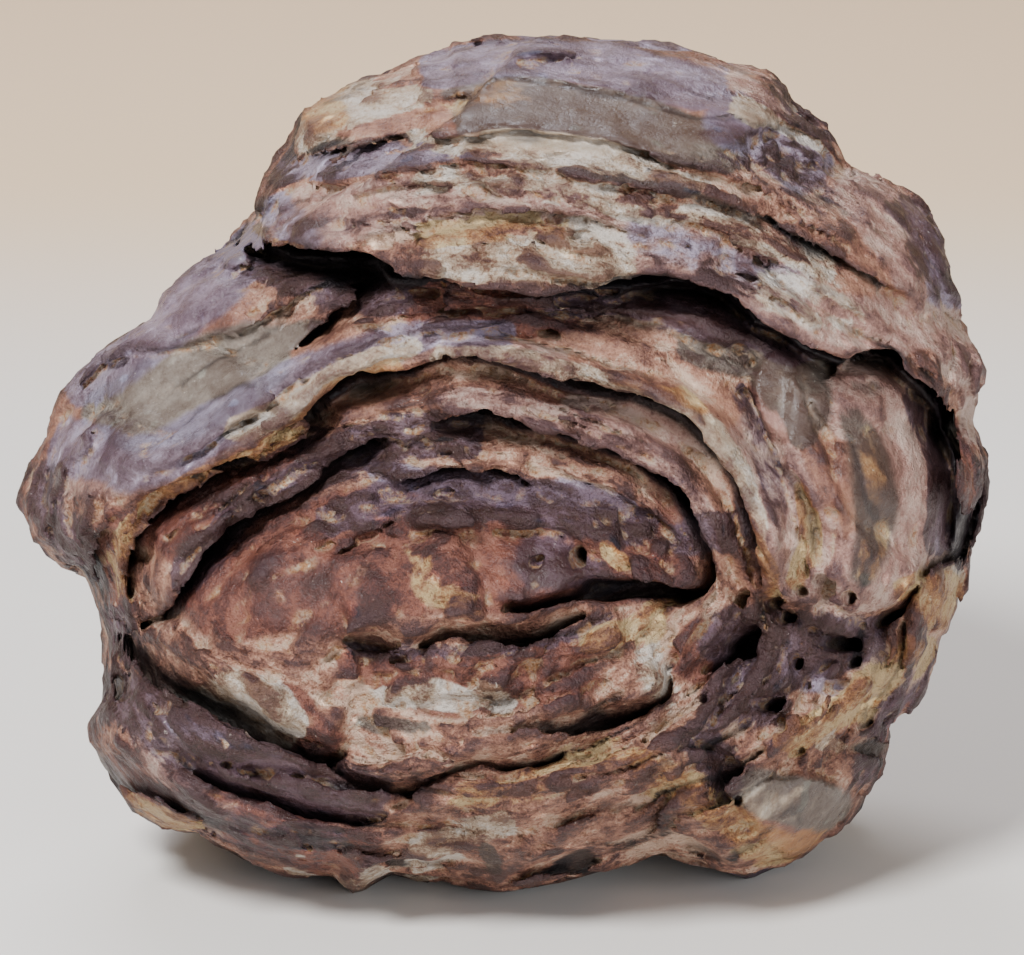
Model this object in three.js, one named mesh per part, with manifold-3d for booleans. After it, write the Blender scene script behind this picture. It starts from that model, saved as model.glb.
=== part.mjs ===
// A flint nodule: one weathered stone of nested, onion-like shells, broken open at the front.
// A thick layered cap overhangs the broken face, and the shells' edges stand out as arches with open gaps.
//
// Units are millimetres, +Z is up, the front faces -Y, and the origin is below the middle, on the resting
// plane. The front was drawn in a picture plane seen from a little above: its points are [x, y] in picture
// pixels, y downwards, and strokes carry their width in pixels as a third number. MM_PER_PIXEL gives them
// their real size.
// The stone is a field that is negative inside. Its zero surface is meshed on a grid and then simplified.
import * as THREE from "three";
import { mergeVertices } from "three/addons/utils/BufferGeometryUtils.js";
import Module from "manifold-3d";

// Driving dimensions
const WIDTH = 125; // of the outline, which is drawn round the widest section
const DRAWN_WIDTH = 960; // the outline's width in picture pixels
const MM_PER_PIXEL = WIDTH / DRAWN_WIDTH;
const FRONT_DEPTH = 43; // from the widest section forward, towards the viewer
const BACK_DEPTH = 50; // from the widest section back
const FRONT_ROUNDNESS = 2.5; // exponents of the superellipse in depth; 2 is an ellipse
const BACK_ROUNDNESS = 2.6;
const REST_HEIGHT = 52; // from the resting plane up to the drawing's middle
const MIDDLE_X = 0.94; // the drawing's middle in the part's frame
const MIDDLE_Y = -2.04;
const VIEW_ELEVATION = THREE.MathUtils.degToRad(15); // of the line of sight in which the front was drawn
const VIEW_DISTANCE = 700;
const PICTURE_SIZE = [1024, 960];
const PICTURE_MIDDLE = [512, 477.5];
const OUTLINE_MIDDLE = [505, 474]; // the outline is drawn round this point
const EYE = [470, 585]; // the middle of the nested shells

// The front's relief
const RELIEF_FROM = -14; // mm from the widest section, towards the viewer, where the drawn relief starts
const RELIEF_TO = 10; // and where it is whole
const LEDGE_SPAN = 4; // a ledge is left out beyond this many times its reach
const EDGE_SOFTNESS = 1.2; // mm, half the width over which a ledge's edge rises
const END_TAPER = 0.1; // share of a rib or ledge over which it fades in and out
const STROKE_SPAN = 40; // pixels beyond a rib's or gap's box where it is left out
const NARROWEST_GAP = 15; // pixels; thinner openings are widened to this and made shallower
const GAP_TAPER = 0.05; // share of a gap over which it starts
const GAP_WALL = 0.75; // share of a gap's half width that its sloping wall takes
const PIT_WALL = 0.5;
const PIT_MARGIN = 2; // pixels added round a pit

// Gaps lean: they run back along the shells, away from the eye
const GAP_LEAN = 0.34; // mm sideways for each mm of depth
const LEAN_LIMIT = 14; // mm of depth, beyond which they lean no further
const LEAN_NEAREST = 60; // pixels from the eye, within which they lean less

// Outer layers that have broken off the back and sides in steps
const FLAKE_THICKNESS = 3.2;
const FLAKE_LAYERS = 2.3;
const FLAKE_SPREAD = 34; // size of the broken patches
const FLAKE_RAGGED = 0.25; // how much their edges wander, over RAGGED_SPREAD mm
const RAGGED_SPREAD = 7;
const FLAKE_EDGE = [0.72, 0.92]; // share of each layer over which its edge rises
const FLAKES_FROM = -2; // mm from the widest section, towards the viewer
const FLAKES_TO = -16;
const FLAKE_SHIFT = [7.3, 2.1, 4.9]; // chosen for where the patches fall
const FOOT_HEIGHT = 22; // no flakes are missing below this, where the stone stands
const LUMP_HEIGHT = 1.5;
const LUMP_SPREAD = 17;

// The outline's corners wear away towards the back
const OUTLINE_STEPS = 720; // round the whole outline
const WORN_SPREAD = 34; // steps over which the worn outline is averaged
const WORN_FROM = -4; // mm from the widest section, towards the viewer
const WORN_TO = -34;

// Meshing
const BOX_LOW = [-68, -62, -10]; // the box that is meshed, a little larger than the stone
const BOX_HIGH = [68, 54, 116];
const GRID_STEP = 1.2;
const CROSSING_MARGIN = 0.05; // share of a grid edge that the surface keeps clear of the edge's ends
const FAR_OUTSIDE = 15; // beyond these distances from the plain ellipsoid the relief doesn't matter
const FAR_INSIDE = -27;
const LEAST_GAUGE = 0.05; // keeps the field finite at the stone's middle
const RELAX_ROUNDS = 4;
const RELAX_SHARE = 0.55; // of the way to the neighbours' average
const RELAX_BACK = 0.9; // of that step, taken back so that the stone doesn't shrink
const MAP_STEP = 4; // pixels between the relief map's points
const BARELY_OUTSIDE = 1e-6; // stands in for a field value of exactly zero

// Simplifying
const TRIANGLES = 9400;
const LENGTH_COST = 1e-4; // for each square mm of an edge, so that short edges go first on flat places
const FLAT_DETERMINANT = 1e-3; // below this a corner's best place isn't certain
const LEAST_TURN = 0.3; // cosine of the most that a triangle may turn
const LEAST_AREA = 1e-3; // twice the smallest triangle's area
const SAME_PLACE = 1e-4;

const OUTLINE = [
  [28, 500], [42, 450], [62, 402], [90, 352], [146, 317], [172, 279], [230, 238], [263, 197], [287, 148],
  [300, 104], [360, 84], [420, 59], [450, 46], [530, 42], [620, 45], [700, 56], [765, 74], [790, 103],
  [822, 130], [845, 163], [895, 187], [935, 225], [955, 265], [962, 312], [988, 370], [979, 400],
  [972, 424], [988, 462], [986, 500], [970, 550], [962, 608], [944, 642], [928, 695], [900, 730],
  [880, 775], [845, 820], [800, 857], [745, 875], [680, 857], [600, 874], [500, 893], [425, 884],
  [350, 893], [290, 876], [225, 849], [165, 828], [117, 800], [92, 755], [82, 730], [100, 695],
  [107, 640], [92, 592], [52, 556], [34, 525],
];

// Broad swells and hollows of the front: [x, y, half width, half height, height in mm]
const SWELLS = [
  [450, 480, 300, 150, -7.5], // the broken face lies back from the ellipse
  [760, 660, 120, 90, -5], // pitted hollow at the lower right
  [170, 395, 75, 45, -5.5], // smooth scooped scar at the left
  [265, 340, 60, 28, -4],
  [400, 575, 150, 55, 4.5], // the eye's lens
  [860, 480, 70, 130, 3], // plates at the right
  [300, 820, 190, 50, 2],
  [560, 790, 130, 50, 2.5],
  [790, 820, 60, 28, 2.5],
  [200, 520, 70, 60, -2],
  [120, 700, 50, 60, -2],
];

// Ledges: edges of broken layers. The side on the left of the path's direction stands rise mm proud of the
// other, and falls away over reach mm.
const LEDGES = [
  { name: "cap lip", rise: 10.5, reach: 46, path: [
    [288, 150], [268, 190], [264, 240], [285, 257], [345, 262], [400, 284], [480, 292], [530, 298],
    [575, 293], [612, 298], [650, 288], [705, 289], [740, 306], [785, 336], [815, 358], [838, 364],
    [884, 358], [900, 380], [925, 398], [944, 440], [954, 500], [948, 560], [935, 600],
  ] },
  { name: "cap top slab", rise: 3.2, reach: 18, path: [
    [298, 150], [345, 159], [400, 151], [500, 138], [590, 142], [690, 167], [765, 196], [795, 224],
    [838, 237], [892, 226],
  ] },
  { name: "cap middle layer", rise: 2.4, reach: 10, path: [
    [270, 198], [340, 184], [430, 174], [545, 172], [640, 194], [720, 206], [800, 244], [870, 285],
    [955, 300],
  ] },
  { name: "cap lower layer", rise: 1.8, reach: 8, path: [
    [350, 234], [420, 228], [480, 218], [580, 230], [700, 250], [780, 297], [835, 335],
  ] },
  { name: "outer arch", rise: 4.5, reach: 13, path: [
    [122, 585], [128, 540], [155, 498], [220, 470], [262, 454], [300, 424], [340, 394], [410, 376],
    [445, 366], [500, 368], [565, 391], [655, 408], [692, 434], [722, 474], [740, 525], [752, 592],
  ] },
  { name: "middle arch", rise: 3.2, reach: 9, path: [
    [428, 428], [460, 418], [520, 430], [600, 452], [645, 477], [672, 495], [690, 530], [706, 585],
  ] },
  { name: "inner arch", rise: 2.2, reach: 6, path: [[395, 492], [430, 478], [470, 471], [520, 480]] },
  { name: "right plates", rise: 5, reach: 24, path: [
    [742, 592], [775, 598], [825, 602], [860, 612], [888, 606], [908, 590], [926, 560],
  ] },
  { name: "scar upper rim", rise: 3, reach: 9, path: [
    [72, 408], [100, 378], [135, 356], [190, 344], [245, 333], [280, 316], [320, 298], [368, 290],
  ] },
  { name: "scar lower rim", rise: 2.4, reach: 12, path: [
    [392, 303], [330, 333], [285, 355], [240, 392], [190, 440], [150, 456], [95, 448],
  ] },
  { name: "triangular plate", rise: 4.5, reach: 12, path: [
    [140, 632], [185, 660], [250, 708], [292, 735], [350, 752],
  ] },
  { name: "long lower plate", rise: 3.5, reach: 9, path: [
    [335, 757], [365, 774], [425, 776], [480, 752], [545, 747], [610, 722],
  ] },
  { name: "middle lower plate", rise: 3, reach: 8, path: [
    [540, 722], [590, 708], [640, 698], [668, 678],
  ] },
  { name: "eye floor", rise: 3, reach: 9, path: [
    [330, 632], [400, 640], [460, 620], [520, 622], [575, 600], [640, 586], [705, 592],
  ] },
  { name: "bottom lip", rise: 3.5, reach: 9, path: [
    [495, 884], [540, 860], [590, 846], [650, 838], [690, 840], [720, 862], [785, 852],
  ] },
  { name: "left lobe", rise: 3, reach: 9, path: [[98, 742], [140, 768], [180, 798], [222, 832]] },
  { name: "left edge flake", rise: 2.5, reach: 8, path: [[38, 478], [62, 474], [90, 448], [84, 425]] },
];

// Open gaps between the shells: depth in mm, path of [x, y, width]
const GAPS = [
  { name: "outer arch gap", depth: 10, path: [
    [150, 560, 6], [155, 535, 9], [190, 502, 12], [245, 474, 10], [290, 455, 5], [318, 436, 10],
    [340, 404, 18], [380, 392, 26], [412, 380, 12], [450, 371, 8], [520, 379, 11], [570, 397, 11],
    [640, 408, 9], [668, 416, 15], [690, 434, 14], [712, 465, 8], [732, 505, 10], [748, 545, 10],
    [755, 590, 6],
  ] },
  { name: "middle arch gap", depth: 10, path: [
    [434, 430, 10], [465, 428, 20], [500, 433, 18], [550, 444, 10], [605, 462, 10], [645, 483, 12],
    [668, 497, 20], [684, 525, 12], [698, 550, 11], [704, 575, 16], [698, 592, 10],
  ] },
  { name: "inner arch gap", depth: 6, path: [
    [412, 487, 6], [445, 478, 9], [490, 477, 9], [520, 484, 5],
  ] },
  { name: "left inner gap", depth: 9, path: [
    [390, 452, 14], [350, 467, 14], [310, 492, 12], [262, 520, 16], [225, 550, 20], [202, 580, 16],
    [186, 612, 10],
  ] },
  { name: "left loop slit", depth: 7, path: [[154, 528, 8], [142, 556, 10], [139, 592, 9]] },
  { name: "left outer gap", depth: 6, path: [[116, 528, 14], [107, 560, 18], [112, 596, 14]] },
  { name: "gap under the cap's left", depth: 13, path: [
    [252, 257, 9], [290, 271, 24], [350, 279, 32], [390, 290, 22], [435, 297, 8],
  ] },
  { name: "gap behind the scar", depth: 10, path: [
    [292, 352, 5], [322, 335, 13], [362, 307, 14], [395, 293, 8],
  ] },
  { name: "gap under the cap's right", depth: 11, path: [
    [552, 302, 8], [600, 303, 26], [650, 302, 38], [695, 308, 38], [740, 328, 26], [785, 350, 16],
    [825, 371, 10],
  ] },
  { name: "right outer gap", depth: 10, path: [
    [862, 362, 10], [886, 372, 18], [908, 392, 26], [918, 420, 22], [932, 460, 18], [940, 510, 16],
    [936, 552, 14], [922, 574, 10],
  ] },
  { name: "right eye gap", depth: 11, path: [
    [512, 604, 7], [555, 598, 13], [580, 590, 22], [620, 588, 20], [672, 597, 15], [700, 588, 14],
  ] },
  { name: "eye gap", depth: 8, path: [
    [425, 642, 5], [462, 630, 13], [510, 634, 16], [550, 624, 9], [580, 615, 6],
  ] },
  { name: "small eye gap", depth: 7, path: [[352, 634, 8], [378, 636, 17], [408, 641, 7]] },
  { name: "gap under the triangular plate", depth: 11, path: [
    [140, 636, 14], [170, 668, 26], [215, 699, 30], [255, 716, 24], [300, 742, 15], [345, 752, 12],
  ] },
  { name: "left lower gap", depth: 9, path: [
    [203, 768, 7], [240, 786, 12], [300, 801, 10], [362, 811, 5],
  ] },
  { name: "left lobe gap", depth: 7, path: [
    [103, 743, 8], [130, 768, 20], [165, 793, 13], [220, 829, 8],
  ] },
  { name: "long lower gap", depth: 7, path: [
    [322, 746, 9], [362, 778, 11], [425, 780, 11], [480, 756, 7], [545, 752, 6],
  ] },
  { name: "middle lower gap", depth: 9, path: [
    [545, 726, 8], [590, 717, 21], [640, 704, 9], [662, 679, 7],
  ] },
  { name: "bottom gap", depth: 8, path: [[505, 882, 5], [540, 864, 12], [592, 852, 12]] },
  { name: "bottom right crack", depth: 5, path: [
    [682, 840, 7], [708, 852, 9], [740, 865, 6], [782, 853, 4],
  ] },
  { name: "bottom crack", depth: 5, path: [[592, 834, 5], [640, 822, 9], [668, 796, 7]] },
  { name: "cap slot", depth: 5, path: [[300, 168, 6], [335, 165, 12], [400, 153, 5]] },
  { name: "cap groove", depth: 2.5, path: [[600, 186, 4], [700, 203, 5], [800, 244, 6], [880, 289, 6]] },
  { name: "cap lower groove", depth: 2.5, path: [
    [355, 234, 4], [420, 229, 6], [480, 220, 5], [580, 231, 6], [640, 240, 4],
  ] },
];

// Pits and caves of the front: [x, y, width, height, depth in mm]
const PITS = [
  [732, 643, 34, 30, 9], [782, 617, 28, 13, 7], [832, 641, 42, 19, 8], [792, 662, 14, 14, 6],
  [764, 703, 36, 14, 8], [856, 744, 36, 17, 8], [893, 607, 44, 22, 8], [718, 770, 34, 44, 4.5],
  [570, 560, 16, 22, 7], [128, 686, 20, 28, 6], [312, 841, 14, 12, 6], [820, 586, 26, 26, 4.5],
  [770, 602, 20, 18, 6], [846, 597, 13, 16, 5], [740, 600, 14, 14, 5], [580, 245, 22, 8, 3],
  [402, 655, 20, 8, 4], [715, 792, 26, 12, 5],
];

// Rounded ribs that stand out of the face: height in mm, path of [x, y, width]
const RIBS = [
  { name: "outer arch rib", height: 2.5, path: [
    [560, 372, 40], [640, 388, 46], [700, 425, 50], [742, 485, 46], [770, 560, 40], [775, 592, 34],
  ] },
  { name: "middle arch rib", height: 2, path: [
    [420, 402, 30], [500, 412, 36], [590, 434, 44], [660, 466, 48], [712, 540, 40],
  ] },
  { name: "left loop", height: 2.5, path: [
    [150, 512, 22], [130, 552, 24], [128, 600, 24], [152, 612, 18],
  ] },
  { name: "left tube", height: 2.5, path: [
    [262, 498, 34], [205, 535, 44], [176, 580, 52], [182, 612, 36],
  ] },
  { name: "upper left rod", height: 2.8, path: [
    [128, 712, 40], [200, 735, 40], [270, 750, 34], [330, 768, 26],
  ] },
  { name: "lower left rod", height: 2.4, path: [[215, 770, 20], [290, 788, 26], [380, 800, 24]] },
  { name: "bottom rod", height: 2.2, path: [[190, 806, 28], [270, 826, 36], [380, 836, 30]] },
  { name: "yellow ridge", height: 3, path: [
    [925, 628, 30], [880, 672, 30], [820, 712, 30], [752, 755, 28],
  ] },
  { name: "bottom lip roll", height: 2, path: [
    [500, 888, 14], [590, 868, 18], [690, 850, 16], [745, 872, 14],
  ] },
];

const clamp = THREE.MathUtils.clamp;
const lerp = THREE.MathUtils.lerp;
const smooth = THREE.MathUtils.smoothstep; // smooth(x, low, high)

// A curve through hand-drawn points, as evenly spaced samples {x, y, width, share}
function trace(path) {
  const points = path.map(([x, y, width = 0]) => new THREE.Vector3(x, y, width));
  const curve = new THREE.CatmullRomCurve3(points, false, "centripetal");
  const count = Math.ceil(curve.getLength() / MAP_STEP);
  return curve.getSpacedPoints(count).map((p, i) => ({ x: p.x, y: p.y, width: p.z, share: i / count }));
}

// A drawn feature with its samples and the box that they fill
function traced(feature) {
  const samples = trace(feature.path);
  const places = samples.map((sample) => new THREE.Vector2(sample.x, sample.y));
  const box = new THREE.Box2().setFromPoints(places);
  return { ...feature, samples, box };
}

const isFar = (box, x, y, margin) =>
  x < box.min.x - margin || x > box.max.x + margin || y < box.min.y - margin || y > box.max.y + margin;

const endFade = (share) => smooth(share, 0, END_TAPER) * smooth(1 - share, 0, END_TAPER);

// The nearest place on a traced curve: width, share, distance and side, which is negative on its left
function nearest(samples, x, y) {
  let best = null;
  for (let i = 0; i < samples.length - 1; i++) {
    const a = samples[i];
    const dx = samples[i + 1].x - a.x;
    const dy = samples[i + 1].y - a.y;
    const along = clamp(((x - a.x) * dx + (y - a.y) * dy) / (dx * dx + dy * dy), 0, 1);
    const ox = x - a.x - along * dx;
    const oy = y - a.y - along * dy;
    const distance = Math.hypot(ox, oy);
    if (!best || distance < best.distance) {
      best = { distance, side: Math.sign(dx * oy - dy * ox) || 1, width: a.width, share: a.share };
    }
  }
  return best;
}

// Angles and radii of the outline's corners round OUTLINE_MIDDLE, in order and closed at both ends
function outlineTurns() {
  const turns = OUTLINE.map(([x, y]) => {
    const dx = x - OUTLINE_MIDDLE[0];
    const dy = y - OUTLINE_MIDDLE[1];
    return { angle: (Math.atan2(dy, dx) + 2 * Math.PI) % (2 * Math.PI), radius: Math.hypot(dx, dy) };
  }).sort((a, b) => a.angle - b.angle);
  const first = { ...turns[0], angle: turns[0].angle + 2 * Math.PI };
  const last = { ...turns.at(-1), angle: turns.at(-1).angle - 2 * Math.PI };
  return [last, ...turns, first];
}

// The outline's radius, in pixels, at evenly spaced angles
function outlineTable() {
  const turns = outlineTurns();
  return Array.from({ length: OUTLINE_STEPS }, (_, step) => {
    const angle = (step / OUTLINE_STEPS) * 2 * Math.PI;
    const after = turns.findIndex((turn) => turn.angle > angle);
    const [a, b] = [turns[after - 1], turns[after]];
    return lerp(a.radius, b.radius, (angle - a.angle) / (b.angle - a.angle));
  });
}

function wear(table) {
  return table.map((_, step) => {
    let sum = 0;
    for (let offset = -WORN_SPREAD; offset <= WORN_SPREAD; offset++) {
      sum += table[(step + offset + OUTLINE_STEPS) % OUTLINE_STEPS];
    }
    return sum / (2 * WORN_SPREAD + 1);
  });
}

const drawnOutline = outlineTable();
const wornOutline = wear(drawnOutline);

function outlineRadius(angle, worn) {
  const place = ((angle / (2 * Math.PI) + 1) % 1) * OUTLINE_STEPS;
  const step = Math.floor(place) % OUTLINE_STEPS;
  const next = (step + 1) % OUTLINE_STEPS;
  const drawn = lerp(drawnOutline[step], drawnOutline[next], place % 1);
  const rounded = lerp(wornOutline[step], wornOutline[next], place % 1);
  return lerp(drawn, rounded, worn);
}

function swellHeight([cx, cy, halfWidth, halfHeight, rise], x, y) {
  return rise * Math.exp(-(((x - cx) / halfWidth) ** 2) - ((y - cy) / halfHeight) ** 2);
}

function ledgeHeight({ samples, rise, reach, box }, x, y) {
  if (isFar(box, x, y, (LEDGE_SPAN * reach) / MM_PER_PIXEL)) return 0;
  const at = nearest(samples, x, y);
  const inside = -at.side * at.distance * MM_PER_PIXEL;
  const fall = Math.exp(-Math.max(inside, 0) / reach);
  return rise * fall * endFade(at.share) * smooth(inside, -EDGE_SOFTNESS, EDGE_SOFTNESS);
}

function ribHeight({ samples, height, box }, x, y) {
  if (isFar(box, x, y, STROKE_SPAN)) return 0;
  const at = nearest(samples, x, y);
  const across = at.distance / (at.width / 2);
  return height * endFade(at.share) * Math.sqrt(Math.max(0, 1 - across * across));
}

function gapDepth({ samples, depth, box }, x, y) {
  if (isFar(box, x, y, STROKE_SPAN)) return 0;
  const at = nearest(samples, x, y);
  const width = Math.max(at.width, NARROWEST_GAP);
  const across = at.distance / (width / 2);
  const narrowing = Math.sqrt(at.width / width) * smooth(at.share, -GAP_TAPER, GAP_TAPER);
  return depth * narrowing * smooth(1 - across, 0, GAP_WALL);
}

function pitDepth([cx, cy, width, tall, depth], x, y) {
  const across = ((x - cx) / (width / 2 + PIT_MARGIN)) ** 2 + ((y - cy) / (tall / 2 + PIT_MARGIN)) ** 2;
  return depth * smooth(1 - across, 0, PIT_WALL);
}

// A value for each place in the picture, worked out once on a coarse grid
class PictureMap {
  constructor(valueAt) {
    this.columns = Math.ceil(PICTURE_SIZE[0] / MAP_STEP) + 1;
    this.rows = Math.ceil(PICTURE_SIZE[1] / MAP_STEP) + 1;
    this.values = new Float32Array(this.columns * this.rows);
    for (let i = 0; i < this.values.length; i++) {
      this.values[i] = valueAt((i % this.columns) * MAP_STEP, Math.floor(i / this.columns) * MAP_STEP);
    }
  }

  at(x, y) {
    const cx = clamp(x / MAP_STEP, 0, this.columns - 1);
    const cy = clamp(y / MAP_STEP, 0, this.rows - 1);
    const column = Math.min(Math.floor(cx), this.columns - 2);
    const row = Math.min(Math.floor(cy), this.rows - 2);
    const i = row * this.columns + column;
    const upper = lerp(this.values[i], this.values[i + 1], cx - column);
    const lower = lerp(this.values[i + this.columns], this.values[i + this.columns + 1], cx - column);
    return lerp(upper, lower, cy - row);
  }
}

// The relief of the front, in mm towards the viewer, is the surface less the openings in it
const ledges = LEDGES.map(traced);
const gaps = GAPS.map(traced);
const ribs = RIBS.map(traced);
const total = (features, heightOf, x, y) => features.reduce((sum, one) => sum + heightOf(one, x, y), 0);
const surface = new PictureMap((x, y) =>
  total(SWELLS, swellHeight, x, y) + total(ledges, ledgeHeight, x, y) + total(ribs, ribHeight, x, y));
const opening = new PictureMap((x, y) =>
  Math.max(...gaps.map((gap) => gapDepth(gap, x, y)), ...PITS.map((pit) => pitDepth(pit, x, y))));

const SCATTER = [127.1, 311.7, 74.7, 43758.5453]; // irregular numbers that make whole numbers look random

// Smooth noise from 0 to 1 over a lattice of cells one unit wide
function noise(x, y, z) {
  const corner = (i, j, k) => {
    const value = Math.sin(i * SCATTER[0] + j * SCATTER[1] + k * SCATTER[2]) * SCATTER[3];
    return value - Math.floor(value);
  };
  const [i, j, k] = [Math.floor(x), Math.floor(y), Math.floor(z)];
  const [fx, fy, fz] = [smooth(x - i, 0, 1), smooth(y - j, 0, 1), smooth(z - k, 0, 1)];
  const row = (dj, dk) => lerp(corner(i, j + dj, k + dk), corner(i + 1, j + dj, k + dk), fx);
  return lerp(lerp(row(0, 0), row(1, 0), fy), lerp(row(0, 1), row(1, 1), fy), fz);
}

const stairs = (value) => Math.floor(value) + smooth(value % 1, ...FLAKE_EDGE);

const SIN = Math.sin(VIEW_ELEVATION);
const COS = Math.cos(VIEW_ELEVATION);

// Where a point of the part's frame lies in the picture, and how many mm it lies towards the viewer
function toPicture(across, behind, up) {
  const toViewer = -behind * COS + up * SIN;
  const zoom = VIEW_DISTANCE / (VIEW_DISTANCE - toViewer) / MM_PER_PIXEL;
  return {
    px: PICTURE_MIDDLE[0] + across * zoom,
    py: PICTURE_MIDDLE[1] - (behind * SIN + up * COS) * zoom,
    toViewer,
  };
}

// A rounded body with the outline's section: share is the part of the way out to the outline
function ellipsoid(share, limit, toViewer) {
  const [depth, roundness] = toViewer > 0 ? [FRONT_DEPTH, FRONT_ROUNDNESS] : [BACK_DEPTH, BACK_ROUNDNESS];
  const gauge = (share ** roundness + Math.abs(toViewer / depth) ** roundness) ** (1 / roundness);
  const radius = Math.hypot(share * limit * MM_PER_PIXEL, toViewer);
  return radius * (1 - 1 / Math.max(gauge, LEAST_GAUGE));
}

// The front's relief at a place. Its depth below the drawn surface decides how far the openings have leaned.
function reliefAt(px, py, toViewer, share) {
  const dome = FRONT_DEPTH * Math.max(0, 1 - share ** FRONT_ROUNDNESS) ** (1 / FRONT_ROUNDNESS);
  const below = clamp(dome + surface.at(px, py) - toViewer, 0, LEAN_LIMIT);
  const ex = px - EYE[0];
  const ey = py - EYE[1];
  const lean = (GAP_LEAN * below) / MM_PER_PIXEL / Math.max(LEAN_NEAREST, Math.hypot(ex, ey));
  return surface.at(px - ex * lean, py - ey * lean) - opening.at(px - ex * lean, py - ey * lean);
}

// How deep the broken-off layers go, in steps, away from the drawn front
function flakes(across, behind, up, toViewer) {
  const away = 1 - smooth(toViewer, FLAKES_TO, FLAKES_FROM);
  const foot = smooth(up + REST_HEIGHT, FOOT_HEIGHT / 3, FOOT_HEIGHT);
  const [x, y, z] = [across, behind, up].map((value, i) => value / FLAKE_SPREAD + FLAKE_SHIFT[i]);
  const ragged = noise(across / RAGGED_SPREAD, behind / RAGGED_SPREAD, up / RAGGED_SPREAD);
  return FLAKE_THICKNESS * stairs(FLAKE_LAYERS * (noise(x, y, z) + FLAKE_RAGGED * ragged)) * away * foot;
}

const lumps = (across, behind, up) =>
  LUMP_HEIGHT * (noise(across / LUMP_SPREAD, behind / LUMP_SPREAD, up / LUMP_SPREAD) - 0.5);

// The stone: negative inside, positive outside, about in mm near the surface
function stone(x, y, z) {
  const [across, behind, up] = [x - MIDDLE_X, y - MIDDLE_Y, z - REST_HEIGHT];
  const { px, py, toViewer } = toPicture(across, behind, up);
  const ox = px - OUTLINE_MIDDLE[0];
  const oy = py - OUTLINE_MIDDLE[1];
  const limit = outlineRadius(Math.atan2(oy, ox), 1 - smooth(toViewer, WORN_TO, WORN_FROM));
  const share = Math.hypot(ox, oy) / limit;
  const plain = ellipsoid(share, limit, toViewer);
  if (plain > FAR_OUTSIDE || plain < FAR_INSIDE) return plain;
  const relief = reliefAt(px, py, toViewer, share) * smooth(toViewer, RELIEF_FROM, RELIEF_TO);
  return ellipsoid(share, limit, toViewer - relief) + flakes(across, behind, up, toViewer)
    + lumps(across, behind, up);
}

// Meshes the zero surface of a field over a box. Each grid cube is cut into six tetrahedra, so the mesh is
// closed wherever the surface runs.
class FieldMesher {
  // Corners of a cube are numbered x + 2 y + 4 z. Each tetrahedron runs from corner 0 to corner 7.
  static TETRAHEDRA = [[0, 1, 3, 7], [0, 3, 2, 7], [0, 2, 6, 7], [0, 6, 4, 7], [0, 4, 5, 7], [0, 5, 1, 7]];

  constructor(field, low, high, step) {
    this.low = low;
    this.step = step;
    this.counts = low.map((edge, i) => Math.ceil((high[i] - edge) / step) + 1);
    const [nx, ny, nz] = this.counts;
    this.values = new Float32Array(nx * ny * nz);
    for (let i = 0; i < this.values.length; i++) this.values[i] = field(...this.place(i)) || BARELY_OUTSIDE;
    this.corners = [0, 1, 2, 3, 4, 5, 6, 7].map((i) => (i & 1) + ((i >> 1) & 1) * nx + (i >> 2) * nx * ny);
    this.positions = [];
    this.faces = [];
    this.made = new Map();
  }

  place(index) {
    const [nx, ny] = this.counts;
    const cell = [index % nx, Math.floor(index / nx) % ny, Math.floor(index / (nx * ny))];
    return cell.map((count, i) => this.low[i] + count * this.step);
  }

  // The vertex where the surface crosses the edge between two grid points
  crossing(a, b) {
    const { values, made, positions } = this;
    const key = a < b ? a * values.length + b : b * values.length + a;
    if (!made.has(key)) {
      const share = clamp(values[a] / (values[a] - values[b]), CROSSING_MARGIN, 1 - CROSSING_MARGIN);
      const to = this.place(b);
      made.set(key, positions.length);
      positions.push(this.place(a).map((from, i) => lerp(from, to[i], share)));
    }
    return made.get(key);
  }

  // Adds the one or two triangles that part a tetrahedron's inner corners from its outer ones. Its corners
  // are in right-handed order, and swapping two corners keeps that order only if the other two swap too.
  addTetrahedron(corners) {
    const inner = corners.filter((corner) => this.values[corner] < 0);
    if (inner.length === 0 || inner.length === 4) return;
    const outer = corners.filter((corner) => this.values[corner] >= 0);
    const order = [...inner, ...outer].map((corner) => corners.indexOf(corner));
    const swaps = order.flatMap((a, i) => order.slice(i + 1).filter((b) => a > b)).length;
    const add = (a, b, c) => this.faces.push(swaps % 2 === 0 ? [a, b, c] : [a, c, b]);
    if (inner.length === 1) {
      add(...outer.map((corner) => this.crossing(inner[0], corner)));
    } else if (inner.length === 3) {
      add(...inner.map((corner) => this.crossing(corner, outer[0])));
    } else {
      const [a, b] = inner;
      const [c, d] = outer;
      add(this.crossing(a, c), this.crossing(a, d), this.crossing(b, d));
      add(this.crossing(a, c), this.crossing(b, d), this.crossing(b, c));
    }
  }

  addCube(base) {
    const signs = new Set(this.corners.map((corner) => this.values[base + corner] < 0));
    if (signs.size === 1) return;
    for (const tetrahedron of FieldMesher.TETRAHEDRA) {
      this.addTetrahedron(tetrahedron.map((corner) => base + this.corners[corner]));
    }
  }

  mesh() {
    const [nx, ny, nz] = this.counts;
    for (let k = 0; k < nz - 1; k++) {
      for (let j = 0; j < ny - 1; j++) {
        for (let i = 0; i < nx - 1; i++) this.addCube(i + j * nx + k * nx * ny);
      }
    }
    return { positions: this.positions, faces: this.faces };
  }
}

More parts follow.
